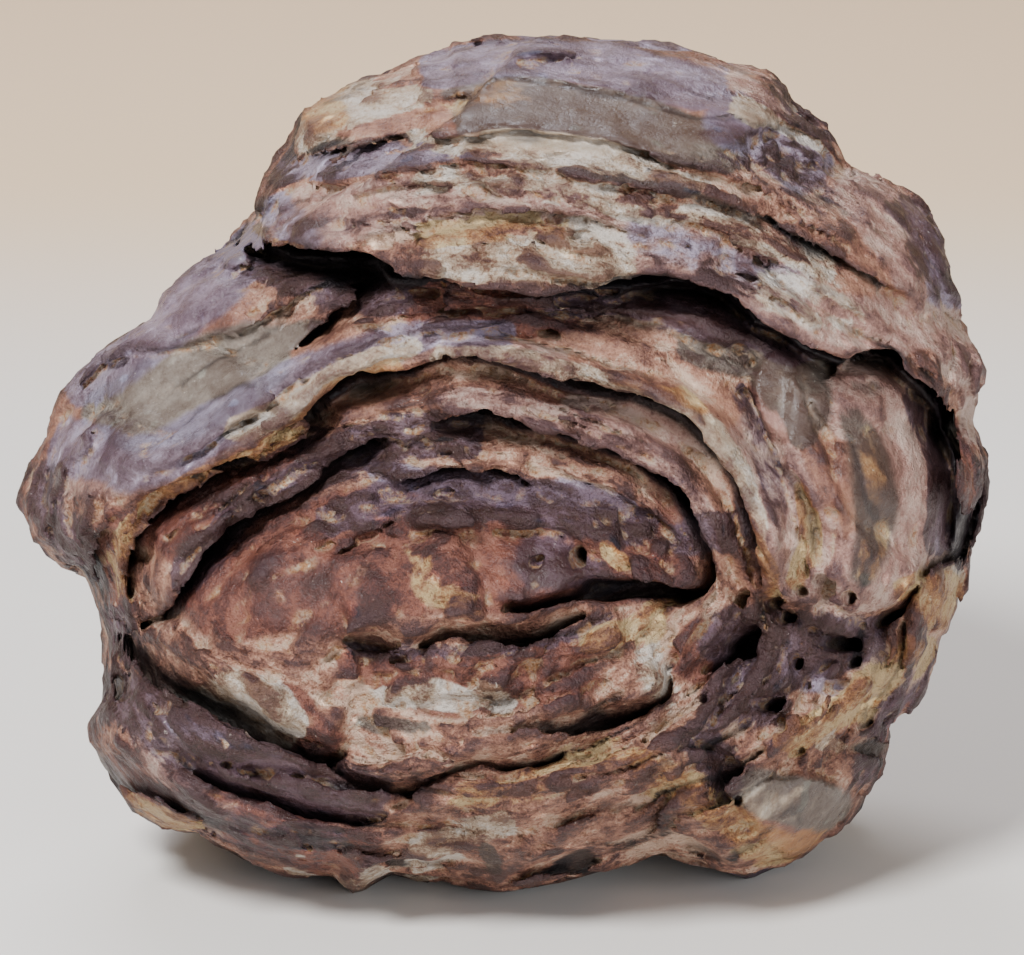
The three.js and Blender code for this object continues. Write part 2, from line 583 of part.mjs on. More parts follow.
// Takes out the grid's own steps: each vertex moves towards the average of its neighbours, then partly back
function relax({ positions, faces }) {
  const near = positions.map(() => new Set());
  for (const [a, b, c] of faces) {
    near[a].add(b).add(c);
    near[b].add(a).add(c);
    near[c].add(a).add(b);
  }
  const move = (points, share) => points.map((point, vertex) => {
    const sum = [0, 0, 0];
    for (const other of near[vertex]) points[other].forEach((value, i) => (sum[i] += value));
    return point.map((value, i) => value + share * (sum[i] / near[vertex].size - value));
  });
  let moved = positions;
  for (let round = 0; round < RELAX_ROUNDS; round++) {
    moved = move(move(moved, RELAX_SHARE), -RELAX_BACK * RELAX_SHARE);
  }
  return { positions: moved, faces };
}

// A queue that gives back the entry with the least cost first
class Queue {
  entries = [];

  push(entry) {
    const { entries } = this;
    let i = entries.push(entry) - 1;
    while (i > 0 && entries[(i - 1) >> 1].cost > entry.cost) {
      entries[i] = entries[(i - 1) >> 1];
      i = (i - 1) >> 1;
    }
    entries[i] = entry;
  }

  pop() {
    const { entries } = this;
    const top = entries[0];
    const last = entries.pop();
    if (entries.length) entries[this.sink(last)] = last;
    return top;
  }

  // Moves cheaper entries up from the top until there is a place for one, and gives that place
  sink(entry) {
    const { entries } = this;
    let i = 0;
    for (let child = 1; child < entries.length; child = 2 * i + 1) {
      if (child + 1 < entries.length && entries[child + 1].cost < entries[child].cost) child++;
      if (entries[child].cost >= entry.cost) break;
      entries[i] = entries[child];
      i = child;
    }
    return i;
  }
}

const apart = (a, b) => Math.hypot(a[0] - b[0], a[1] - b[1], a[2] - b[2]);

function normalOf([a, b, c]) {
  const [ux, uy, uz] = [b[0] - a[0], b[1] - a[1], b[2] - a[2]];
  const [vx, vy, vz] = [c[0] - a[0], c[1] - a[1], c[2] - a[2]];
  return [uy * vz - uz * vy, uz * vx - ux * vz, ux * vy - uy * vx];
}

// A triangle's quadric gives the squared distance to its plane, weighted by its area
function quadricOf(corners) {
  const normal = normalOf(corners);
  const size = Math.hypot(...normal) || Number.MIN_VALUE;
  const [a, b, c] = normal.map((value) => value / size);
  const d = -(a * corners[0][0] + b * corners[0][1] + c * corners[0][2]);
  return [a * a, a * b, a * c, a * d, b * b, b * c, b * d, c * c, c * d, d * d].map((value) => value * size);
}

const errorAt = (q, [x, y, z]) =>
  q[0] * x * x + 2 * q[1] * x * y + 2 * q[2] * x * z + 2 * q[3] * x + q[4] * y * y +
  2 * q[5] * y * z + 2 * q[6] * y + q[7] * z * z + 2 * q[8] * z + q[9];

// The place with the least error for an edge that collapses, kept close to the edge
function bestPlace(q, a, b) {
  const middle = a.map((value, i) => (value + b[i]) / 2);
  const choices = [middle, a, b];
  const system = new THREE.Matrix3(q[0], q[1], q[2], q[1], q[4], q[5], q[2], q[5], q[7]);
  if (Math.abs(system.determinant()) > FLAT_DETERMINANT) {
    const solved = new THREE.Vector3(-q[3], -q[6], -q[8]).applyMatrix3(system.invert()).toArray();
    if (apart(solved, middle) < apart(a, b)) choices.push(solved);
  }
  return choices
    .map((choice) => ({ choice, error: errorAt(q, choice) }))
    .reduce((best, next) => (next.error < best.error ? next : best));
}

// Collapses edges, the flattest first, until the mesh has the wanted number of triangles. The cost of a
// collapse is the squared distance to the planes of the triangles that it stands for.
class Simplifier {
  constructor({ positions, faces }) {
    this.points = positions.map((p) => [...p]);
    this.faces = faces.map((face) => [...face]);
    this.around = positions.map(() => new Set());
    this.quadrics = positions.map(() => new Float64Array(10));
    this.stamps = positions.map(() => 0); // raised when a vertex moves, and -1 once it is gone
    this.queue = new Queue();
    this.left = faces.length;
    faces.forEach((face, index) => {
      const quadric = quadricOf(this.cornersOf(face));
      for (const corner of face) {
        this.around[corner].add(index);
        quadric.forEach((value, i) => (this.quadrics[corner][i] += value));
      }
    });
  }

  cornersOf(face) {
    return face.map((corner) => this.points[corner]);
  }

  neighbours(vertex) {
    const found = new Set([...this.around[vertex]].flatMap((face) => this.faces[face]));
    found.delete(vertex);
    return found;
  }

  offer(a, b) {
    const { points, quadrics, stamps } = this;
    const sum = quadrics[a].map((value, i) => value + quadrics[b][i]);
    const { choice, error } = bestPlace(sum, points[a], points[b]);
    const cost = error + LENGTH_COST * apart(points[a], points[b]) ** 2;
    this.queue.push({ cost, a, b, stampA: stamps[a], stampB: stamps[b], choice, sum });
  }

  // Whether moving a vertex would turn a triangle over or thin it to a sliver
  spoils(vertex, other, target) {
    return [...this.around[vertex]].map((index) => this.faces[index]).some((face) => {
      if (face.includes(other)) return false;
      const before = normalOf(this.cornersOf(face));
      const after = normalOf(face.map((corner) => (corner === vertex ? target : this.points[corner])));
      const dot = before[0] * after[0] + before[1] * after[1] + before[2] * after[2];
      const area = Math.hypot(...after);
      return dot < LEAST_TURN * Math.hypot(...before) * area || area < LEAST_AREA;
    });
  }

  // Whether an edge can go: neither end has changed since it was offered, and the surface stays whole
  allows({ a, b, stampA, stampB, choice }) {
    if (this.stamps[a] !== stampA || this.stamps[b] !== stampB) return false;
    const near = this.neighbours(b);
    const shared = [...this.neighbours(a)].filter((corner) => near.has(corner));
    return shared.length === 2 && !this.spoils(a, b, choice) && !this.spoils(b, a, choice);
  }

  collapse({ a, b, choice, sum }) {
    const { faces, around, stamps } = this;
    for (const index of [...around[b]]) {
      if (faces[index].includes(a)) {
        for (const corner of faces[index]) around[corner].delete(index);
        faces[index] = null;
        this.left--;
      } else {
        faces[index] = faces[index].map((corner) => (corner === b ? a : corner));
        around[a].add(index);
      }
    }
    around[b].clear();
    this.points[a] = choice;
    this.quadrics[a] = sum;
    stamps[a]++;
    stamps[b] = -1;
    this.neighbours(a).forEach((corner) => this.offer(a, corner));
  }

  reduceTo(wanted) {
    this.points.forEach((_, a) => this.neighbours(a).forEach((b) => a < b && this.offer(a, b)));
    while (this.left > wanted && this.queue.entries.length) {
      const edge = this.queue.pop();
      if (this.allows(edge)) this.collapse(edge);
    }
    return this;
  }

  geometry() {
    const geometry = new THREE.BufferGeometry();
    geometry.setAttribute("position", new THREE.Float32BufferAttribute(this.points.flat(), 3));
    geometry.setIndex(this.faces.filter((face) => face !== null).flat());
    return geometry;
  }
}

// Booleans
const wasm = await Module();
wasm.setup();

function solidOf(geometry) {
  const bare = geometry.clone();
  bare.deleteAttribute("normal");
  bare.deleteAttribute("uv");
  const merged = mergeVertices(bare, SAME_PLACE);
  const mesh = new wasm.Mesh({
    numProp: 3,
    vertProperties: new Float32Array(merged.attributes.position.array),
    triVerts: new Uint32Array(merged.index.array),
  });
  return new wasm.Manifold(mesh);
}

function geometryOf(solid) {
  const { vertProperties, triVerts } = solid.getMesh();
  const geometry = new THREE.BufferGeometry();
  geometry.setAttribute("position", new THREE.BufferAttribute(vertProperties, 3));
  geometry.setIndex(new THREE.BufferAttribute(triVerts, 1));
  geometry.computeVertexNormals();
  return geometry;
}

// The stone stands on a flat broken place: everything below the resting plane is cut away
function cutAtRest(geometry) {
  const size = 3 * WIDTH;
  const ground = new THREE.BoxGeometry(size, size, size).translate(0, 0, -size / 2);
  const pieces = solidOf(geometry).subtract(solidOf(ground)).decompose();
  return pieces.reduce((largest, piece) => (piece.volume() > largest.volume() ? piece : largest));
}

function makeNodule() {
  const skin = relax(new FieldMesher(stone, BOX_LOW, BOX_HIGH, GRID_STEP).mesh());
  const light = new Simplifier(skin).reduceTo(TRIANGLES).geometry();
  const flint = new THREE.MeshStandardMaterial({ color: "#8a5a46", roughness: 0.72, metalness: 0 });
  const nodule = new THREE.Mesh(geometryOf(cutAtRest(light)), flint);
  nodule.name = "nodule";
  return nodule;
}

const part = new THREE.Group();
part.add(makeNodule());

export default part;
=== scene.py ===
"""The flint nodule's look: nested, onion-like shells of stone, broken open under a layered cap.

Lengths are millimetres until the mesh is made, and the frame's metres after that. The front was drawn in
the photograph's picture plane: its points are [x, y] in pixels of a 1024 by 955 picture, y downwards.
The stone is a field, negative inside, whose zero surface becomes the mesh.
"""
import itertools
import math

import bpy
import numpy as np
import openvdb
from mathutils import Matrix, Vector


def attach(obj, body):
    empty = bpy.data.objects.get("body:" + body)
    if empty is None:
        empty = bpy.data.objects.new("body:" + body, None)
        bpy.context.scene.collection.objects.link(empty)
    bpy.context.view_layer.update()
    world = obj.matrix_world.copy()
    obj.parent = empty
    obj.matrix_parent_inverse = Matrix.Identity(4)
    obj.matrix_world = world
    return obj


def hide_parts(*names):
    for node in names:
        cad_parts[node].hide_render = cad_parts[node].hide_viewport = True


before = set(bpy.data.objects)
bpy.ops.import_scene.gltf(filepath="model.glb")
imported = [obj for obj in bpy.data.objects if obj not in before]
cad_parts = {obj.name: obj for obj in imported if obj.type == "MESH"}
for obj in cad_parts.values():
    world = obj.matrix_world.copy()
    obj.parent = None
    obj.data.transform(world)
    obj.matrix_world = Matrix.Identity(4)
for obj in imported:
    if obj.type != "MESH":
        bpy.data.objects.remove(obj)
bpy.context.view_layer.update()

# Size and place, the same as in the part's source
WIDTH = 125
DRAWN_WIDTH = 960
MM_PER_PIXEL = WIDTH / DRAWN_WIDTH
FRONT_DEPTH = 43
BACK_DEPTH = 50
FRONT_ROUNDNESS = 2.5
BACK_ROUNDNESS = 2.6
REST_HEIGHT = 52
MIDDLE = (0.94, -2.04)
VIEW_ELEVATION = math.radians(15)
VIEW_DISTANCE = 700
PICTURE_SIZE = (1024, 955)
PICTURE_MIDDLE = (512, 477.5)
OUTLINE_MIDDLE = (505, 474)
EYE = (470, 585)
GAP_LEAN = 0.34
LEAN_LIMIT = 18
WORN_SPREAD = 34
WORN_FROM = -4
WORN_TO = -34
FLAKE_THICKNESS = 3.2
FLAKE_LAYERS = 2.3
FLAKE_SPREAD = 34
FOOT_HEIGHT = 22
LUMP_HEIGHT = 1.5
LUMP_SPREAD = 17

# Fine relief
EDGE_SOFTNESS = 0.45
FACET_STRETCH = 0.8
FACETS = {"large": (11.0, 3.8, 5), "middle": (4.8, 1.8, 17), "small": (2.1, 0.5, 29)}
FACET_TOP = 0.24
PEEL_STRETCH = 2.0
PEELS = ((14.0, 4, 1.4), (6.0, 3, 0.7))
MAP_STEP = 2
FINE_STEP = 0.5
CHIP_STEP = 2 / 3
COARSE = 4
TRIANGLES = 196000
BACK_TRIANGLES = 45000
RECESS_ROUNDS = 9
MM = 0.001

OUTLINE = [
    (28, 500), (36, 478), (44, 447), (62, 400), (75, 370), (90, 350), (110, 336), (146, 317), (160, 290),
    (190, 267), (230, 238), (258, 207), (270, 175), (287, 148), (293, 130), (298, 106), (330, 92),
    (385, 75), (425, 58), (450, 53), (452, 46), (480, 42), (600, 44), (650, 48), (700, 56), (765, 74),
    (785, 90), (790, 103), (822, 130), (845, 163), (895, 188), (920, 205), (940, 230), (955, 265),
    (962, 310), (985, 350), (989, 372), (979, 400), (970, 422), (988, 460), (986, 500), (970, 550),
    (965, 585), (955, 632), (943, 640), (928, 695), (900, 730), (880, 775), (845, 820), (805, 855),
    (770, 866), (745, 877), (700, 862), (660, 855), (600, 872), (530, 890), (500, 894), (440, 882),
    (425, 886), (390, 880), (352, 898), (330, 878), (290, 876), (225, 848), (200, 832), (165, 829),
    (130, 812), (105, 780), (85, 740), (84, 725), (98, 703), (104, 665), (108, 640), (92, 590),
    (80, 572), (55, 556), (38, 540), (33, 520),
]

# Closed contours of the nested shells, from the eye outwards
SHELLS = [
    [(215, 600), (245, 555), (300, 518), (400, 486), (480, 472), (560, 488), (640, 520), (690, 558),
     (703, 592), (640, 603), (540, 637), (430, 650), (320, 652), (240, 642)],
    [(150, 610), (165, 540), (230, 490), (320, 440), (400, 424), (490, 416), (600, 448), (670, 490),
     (712, 560), (740, 610), (700, 662), (640, 706), (540, 736), (420, 742), (330, 742), (240, 694),
     (180, 654)],
    [(122, 590), (135, 530), (200, 475), (300, 420), (400, 372), (500, 362), (600, 380), (690, 410),
     (752, 480), (780, 590), (790, 660), (740, 706), (650, 752), (560, 770), (430, 782), (330, 770),
     (230, 726), (150, 668)],
    [(72, 560), (58, 500), (92, 440), (165, 390), (255, 345), (340, 300), (450, 296), (600, 298),
     (715, 298), (825, 362), (895, 400), (925, 500), (915, 600), (880, 680), (820, 745), (740, 792),
     (600, 832), (450, 846), (300, 832), (180, 792), (112, 712)],
]
LAYERS_PER_SHELL = 9
OUTER_LAYER = 12
LAYERS_PER_CRACK = 4
CRACK_DEPTH = 1.8

# Broad swells and hollows: (x, y, half width, half height, height)
SWELLS = [
    (450, 480, 300, 150, -7.5), (760, 660, 120, 90, -5), (170, 395, 75, 45, -5.5), (265, 340, 60, 28, -4),
    (400, 575, 150, 55, 4.5), (860, 480, 70, 130, 3), (300, 820, 190, 50, 2), (560, 790, 130, 50, 2.5),
    (790, 820, 60, 28, 2.5), (200, 520, 70, 60, -2), (120, 700, 50, 60, -2),
]

# Ledges: (rise, reach, path). The side on the left of the path's way stands proud and falls away over reach
LEDGES = {
    "cap lip": (10.5, 46, [
        (288, 150), (268, 190), (264, 240), (285, 257), (345, 262), (375, 268), (400, 284), (440, 289),
        (480, 293), (530, 299), (575, 293), (612, 298), (648, 287), (705, 289), (740, 306), (755, 322),
        (785, 336), (812, 356), (838, 364), (850, 358), (884, 358), (900, 380), (925, 398), (944, 440),
        (954, 500), (948, 560), (935, 600)]),
    "cap top slab": (3.2, 18, [
        (298, 150), (310, 159), (345, 159), (400, 151), (450, 144), (500, 138), (545, 137), (590, 143),
        (640, 154), (690, 167), (730, 178), (765, 196), (795, 224), (838, 237), (862, 230), (892, 226)]),
    "cap middle layer": (3.4, 8, [
        (270, 198), (340, 184), (430, 174), (500, 168), (545, 172), (600, 186), (660, 198), (720, 206),
        (800, 244), (850, 272), (880, 290), (955, 300)]),
    "cap third layer": (2.2, 6, [
        (276, 214), (330, 200), (400, 190), (470, 188), (560, 200), (620, 214), (700, 232), (770, 262),
        (830, 300), (900, 335)]),
    "cap lower layer": (3, 7, [
        (350, 250), (400, 240), (440, 226), (480, 216), (530, 216), (580, 226), (640, 240), (700, 256),
        (740, 274), (780, 300), (835, 338)]),
    "cap flaky upper": (1.6, 4, [(410, 262), (450, 250), (500, 247), (560, 250), (612, 262)]),
    "cap flaky lower": (1.6, 4, [(400, 276), (450, 272), (510, 270), (570, 274), (625, 280)]),
    "cap skin": (1.6, 16, [
        (300, 104), (380, 96), (440, 106), (520, 84), (600, 92), (680, 108), (735, 122), (780, 148),
        (822, 182), (852, 214)]),
    "cap crown": (1.4, 12, [
        (425, 62), (480, 66), (560, 60), (640, 70), (720, 92), (770, 120), (812, 150), (848, 186)]),
    "outer arch": (4.5, 13, [
        (122, 585), (128, 540), (155, 498), (185, 482), (220, 470), (262, 454), (300, 424), (340, 394),
        (365, 381), (410, 376), (445, 366), (500, 368), (520, 376), (565, 391), (620, 399), (655, 408),
        (692, 434), (722, 474), (740, 525), (752, 592)]),
    "middle arch": (3.2, 9, [
        (428, 428), (460, 418), (490, 420), (520, 430), (560, 438), (600, 452), (645, 477), (672, 495),
        (690, 530), (706, 585)]),
    "inner arch": (2.2, 6, [(395, 492), (430, 478), (470, 471), (500, 476), (530, 484)]),
    "right plates": (5, 24, [
        (742, 592), (775, 598), (800, 603), (825, 600), (850, 611), (885, 608), (905, 592), (926, 560)]),
    "right plate step": (1.6, 14, [
        (800, 385), (825, 430), (838, 480), (832, 540), (815, 590)]),
    "scar upper rim": (3, 9, [
        (72, 408), (100, 378), (135, 356), (190, 344), (245, 333), (280, 316), (320, 298), (368, 290)]),
    "scar lower rim": (2.4, 12, [
        (392, 303), (330, 333), (285, 355), (240, 392), (215, 418), (190, 440), (150, 456), (95, 448)]),
    "left shoulder": (1.8, 10, [(92, 470), (150, 470), (200, 452), (260, 410), (330, 362), (410, 335), (520, 330)]),
    "triangular plate": (4.5, 12, [
        (140, 632), (185, 660), (215, 682), (250, 708), (292, 735), (350, 752)]),
    "long lower plate": (3.5, 9, [
        (335, 757), (365, 774), (425, 776), (480, 752), (545, 747), (610, 722)]),
    "middle lower plate": (3, 8, [(540, 722), (590, 708), (640, 698), (668, 678)]),
    "eye floor": (3, 9, [
        (330, 632), (400, 640), (460, 620), (520, 622), (575, 600), (640, 586), (705, 592)]),
    "bottom lip": (3.5, 9, [
        (495, 884), (540, 860), (590, 846), (650, 838), (690, 840), (720, 862), (785, 852)]),
    "left lobe": (3, 9, [(98, 742), (140, 768), (180, 798), (222, 832)]),
    "left edge flake": (2.5, 8, [(38, 478), (62, 474), (90, 448), (84, 425)]),
    "lens dark mass": (2.2, 8, [(400, 520), (440, 528), (500, 534), (560, 542), (625, 552)]),
    "lower face upper step": (1.6, 7, [(330, 676), (420, 668), (520, 662), (600, 652), (650, 640)]),
    "lower face lower step": (1.6, 7, [(380, 704), (440, 692), (500, 694), (570, 688), (640, 672)]),
    "lower middle step": (1.6, 8, [(400, 815), (480, 800), (560, 792), (640, 770), (700, 752)]),
}

# Open gaps between the shells: (depth, path of (x, y, width))
GAPS = {
    "outer arch": (10, [
        (150, 560, 6), (152, 540, 8), (165, 520, 10), (185, 505, 12), (210, 490, 8), (240, 474, 10),
        (262, 468, 6), (290, 455, 4), (315, 438, 8), (335, 410, 14), (352, 398, 22), (380, 392, 26),
        (405, 384, 16), (425, 376, 6), (450, 370, 6), (490, 372, 6), (525, 380, 10), (550, 388, 10),
        (575, 397, 10), (605, 401, 8), (640, 408, 8), (668, 416, 14), (688, 432, 14), (700, 448, 10),
        (715, 465, 6), (728, 485, 7), (738, 515, 9), (746, 535, 12), (750, 560, 8), (754, 588, 6)]),
    "middle arch": (10, [
        (436, 428, 10), (462, 428, 20), (490, 430, 24), (520, 438, 14), (550, 443, 8), (580, 452, 9),
        (610, 463, 10), (640, 480, 8), (660, 492, 18), (672, 505, 20), (682, 520, 12), (692, 540, 8),
        (700, 556, 10), (703, 575, 16), (700, 590, 10)]),
    "inner arch": (6, [
        (412, 487, 4), (435, 480, 8), (460, 476, 10), (490, 477, 7), (512, 480, 5), (525, 488, 3)]),
    "left inner": (9, [
        (388, 452, 16), (368, 460, 20), (345, 468, 14), (320, 485, 8), (295, 503, 10), (265, 520, 14),
        (240, 537, 18), (220, 555, 16), (205, 575, 14), (195, 595, 12), (186, 612, 8)]),
    "left inner branch": (7, [(188, 612, 8), (165, 618, 7), (150, 625, 8)]),
    "left loop slit": (7, [(152, 530, 6), (143, 550, 9), (139, 570, 8), (139, 592, 7)]),
    "left outer": (6, [(112, 535, 16), (108, 560, 18), (112, 595, 14)]),
    "small left": (5, [(300, 448, 6), (315, 440, 14), (330, 430, 10), (338, 420, 4)]),
    "under the cap's left": (16, [
        (252, 257, 8), (285, 270, 22), (320, 275, 24), (355, 280, 30), (385, 288, 26), (405, 292, 12),
        (435, 297, 6)]),
    "behind the scar": (10, [(296, 350, 3), (320, 335, 12), (345, 318, 14), (365, 305, 12), (385, 297, 10)]),
    "under the cap's right": (16, [
        (555, 301, 8), (590, 301, 16), (620, 298, 24), (650, 297, 26), (690, 300, 24), (725, 313, 18),
        (750, 330, 12), (775, 344, 10), (800, 358, 10), (825, 372, 8)]),
    "right outer": (10, [
        (840, 367, 8), (862, 366, 14), (880, 372, 18), (892, 384, 16), (905, 394, 24), (916, 408, 20), (917, 422, 16),
        (922, 440, 16), (932, 460, 14), (940, 480, 10), (938, 520, 10), (942, 545, 10), (930, 562, 8),
        (922, 574, 8)]),
    "right eye": (11, [
        (500, 606, 4), (530, 603, 8), (558, 598, 12), (575, 590, 20), (600, 590, 22), (625, 588, 18),
        (650, 590, 14), (675, 597, 14), (695, 592, 12), (705, 578, 10)]),
    "eye": (8, [
        (425, 642, 3), (455, 628, 8), (475, 630, 14), (500, 634, 16), (525, 633, 14), (550, 624, 9),
        (575, 616, 5)]),
    "small eye": (7, [(352, 634, 6), (365, 634, 14), (385, 635, 16), (404, 640, 8)]),
    "under the triangular plate": (11, [
        (140, 635, 10), (150, 650, 20), (170, 672, 26), (195, 690, 26), (220, 700, 28), (250, 712, 24),
        (275, 730, 18), (300, 742, 14), (322, 750, 10), (345, 750, 10)]),
    "left lower": (9, [
        (203, 768, 5), (215, 776, 10), (240, 786, 10), (270, 793, 8), (300, 800, 9), (325, 806, 6),
        (360, 811, 4), (385, 811, 3)]),
    "left lobe": (7, [
        (102, 742, 6), (118, 757, 16), (140, 775, 18), (165, 790, 12), (178, 803, 10), (200, 812, 8),
        (220, 829, 7)]),
    "long lower": (7, [
        (320, 745, 8), (345, 768, 8), (362, 777, 9), (395, 781, 8), (425, 779, 9), (448, 766, 8),
        (480, 754, 5), (510, 755, 6), (545, 751, 4), (560, 745, 4)]),
    "middle lower": (9, [
        (545, 726, 6), (565, 718, 16), (590, 716, 20), (615, 710, 16), (640, 703, 8), (655, 695, 5),
        (662, 678, 5)]),
    "bottom": (8, [(505, 882, 3), (530, 868, 9), (555, 858, 12), (580, 853, 14), (592, 852, 8)]),
    "bottom right": (5, [(680, 838, 4), (700, 845, 10), (712, 853, 6), (740, 864, 5), (780, 853, 3)]),
    "bottom crack": (5, [(590, 833, 3), (610, 831, 5), (635, 824, 7), (650, 812, 8), (668, 795, 7)]),
    "bottom left": (4, [(340, 843, 5), (370, 851, 6), (395, 852, 5)]),
    "cap slot": (5, [(300, 168, 4), (320, 166, 10), (338, 166, 8), (370, 155, 8), (400, 151, 4), (450, 145, 4)]),
    "cap groove": (2.2, [(600, 186, 3), (640, 193, 4), (700, 202, 3), (790, 238, 4), (830, 262, 6), (870, 284, 5)]),
    "cap crack": (2, [(360, 233, 2), (400, 232, 5), (430, 226, 3), (480, 219, 3), (530, 221, 4), (620, 237, 3)]),
    "lens crack": (2.2, [(340, 552, 2), (360, 545, 5), (380, 535, 4), (398, 522, 3)]),
    "plate groove": (2.2, [(735, 395, 4), (752, 420, 6), (765, 452, 6), (778, 490, 6), (790, 530, 6), (803, 575, 5)]),
    "lower right": (4, [(690, 738, 3), (705, 745, 6), (722, 757, 12), (735, 768, 10)]),
    "right edge": (8, [(868, 622, 8), (885, 610, 20), (900, 600, 14), (915, 590, 8)]),
    "upper pits": (9, [(700, 668, 3), (720, 655, 14), (738, 640, 26), (748, 630, 16)]),
}

# Pits: (x, y, width, height, depth)
PITS = [
    (732, 643, 30, 26, 9), (782, 617, 26, 10, 7), (832, 641, 40, 17, 8), (792, 662, 12, 12, 6),
    (764, 703, 34, 12, 8), (856, 744, 34, 15, 8), (718, 770, 22, 36, 4.5), (570, 560, 11, 18, 7),
    (128, 686, 18, 26, 6), (312, 841, 11, 9, 6), (820, 586, 24, 24, 4.5), (770, 602, 16, 16, 6),
    (846, 597, 10, 13, 5), (738, 600, 14, 12, 5), (797, 590, 8, 8, 4), (580, 245, 22, 6, 3),
    (402, 655, 18, 7, 4), (715, 792, 24, 9, 5), (531, 565, 9, 9, 3), (803, 685, 7, 7, 3),
    (549, 336, 18, 6, 5), (745, 655, 12, 9, 5), (812, 628, 14, 8, 5), (848, 660, 10, 8, 4),
    (776, 722, 10, 7, 4), (700, 700, 8, 6, 3), (262, 478, 6, 5, 3), (232, 760, 8, 5, 3),
]

# Rounded ribs: (height, path of (x, y, width))
RIBS = {
    "outer arch": (3.6, [
        (430, 358, 26), (500, 356, 28), (560, 372, 34), (640, 388, 40), (700, 422, 46), (744, 485, 42),
        (768, 560, 36), (775, 592, 30)]),
    "middle arch": (3, [
        (420, 402, 28), (500, 410, 34), (590, 432, 42), (655, 462, 46), (700, 510, 44), (722, 560, 36)]),
    "lens fold": (2.4, [(430, 535, 30), (452, 575, 46), (464, 610, 42), (455, 640, 26)]),
    "lens right bump": (2.2, [(625, 572, 36), (665, 574, 44), (700, 576, 30)]),
    "left loop": (2.5, [(150, 512, 22), (130, 552, 24), (128, 600, 24), (152, 612, 18)]),
    "left tube": (2.5, [(262, 498, 34), (205, 535, 44), (176, 580, 52), (182, 612, 36)]),
    "upper left rod": (2.8, [(128, 712, 40), (200, 735, 40), (270, 750, 34), (330, 768, 26)]),
    "lower left rod": (2.4, [(215, 770, 20), (290, 788, 26), (380, 800, 24)]),
    "bottom rod": (2.2, [(190, 806, 28), (270, 826, 36), (380, 836, 30)]),
    "yellow ridge": (3, [(925, 628, 30), (880, 672, 30), (820, 712, 30), (752, 755, 28)]),
    "bottom lip roll": (2, [(500, 888, 14), (590, 868, 18), (690, 850, 16), (745, 872, 14)]),
    "outer arch left": (1.6, [(205, 458, 20), (262, 432, 22), (320, 388, 24), (380, 356, 22), (460, 345, 22)]),
    "lens ridge": (1.6, [(235, 590, 30), (300, 545, 34), (400, 520, 30), (520, 520, 34), (600, 545, 30)]),
}

# Smoother places: (x, y, half width, half height, how smooth)
SMOOTH_PLACES = [
    (190, 392, 82, 48, 1), (268, 340, 56, 22, 1), (600, 125, 190, 34, 0.95), (530, 92, 100, 14, 1),
    (790, 395, 44, 56, 0.95), (868, 480, 36, 56, 0.9), (790, 800, 60, 34, 0.9), (800, 835, 40, 20, 0.9),
    (720, 430, 26, 34, 0.8), (240, 245, 34, 30, 0.9), (600, 70, 210, 32, 0.6), (360, 110, 80, 40, 0.5),
    (150, 460, 120, 40, 0.6), (330, 375, 110, 50, 0.6), (520, 350, 120, 24, 0.5), (670, 410, 70, 50, 0.6),
    (750, 510, 50, 90, 0.5), (870, 470, 80, 130, 0.6), (840, 330, 110, 60, 0.5), (330, 215, 70, 40, 0.5),
    (190, 560, 50, 60, 0.5), (280, 790, 130, 40, 0.4), (170, 310, 90, 44, 0.8), (900, 250, 60, 60, 0.5),
    (700, 320, 90, 30, 0.6), (70, 440, 40, 50, 0.6), (290, 590, 80, 46, 0.5), (530, 575, 56, 36, 0.6),
]

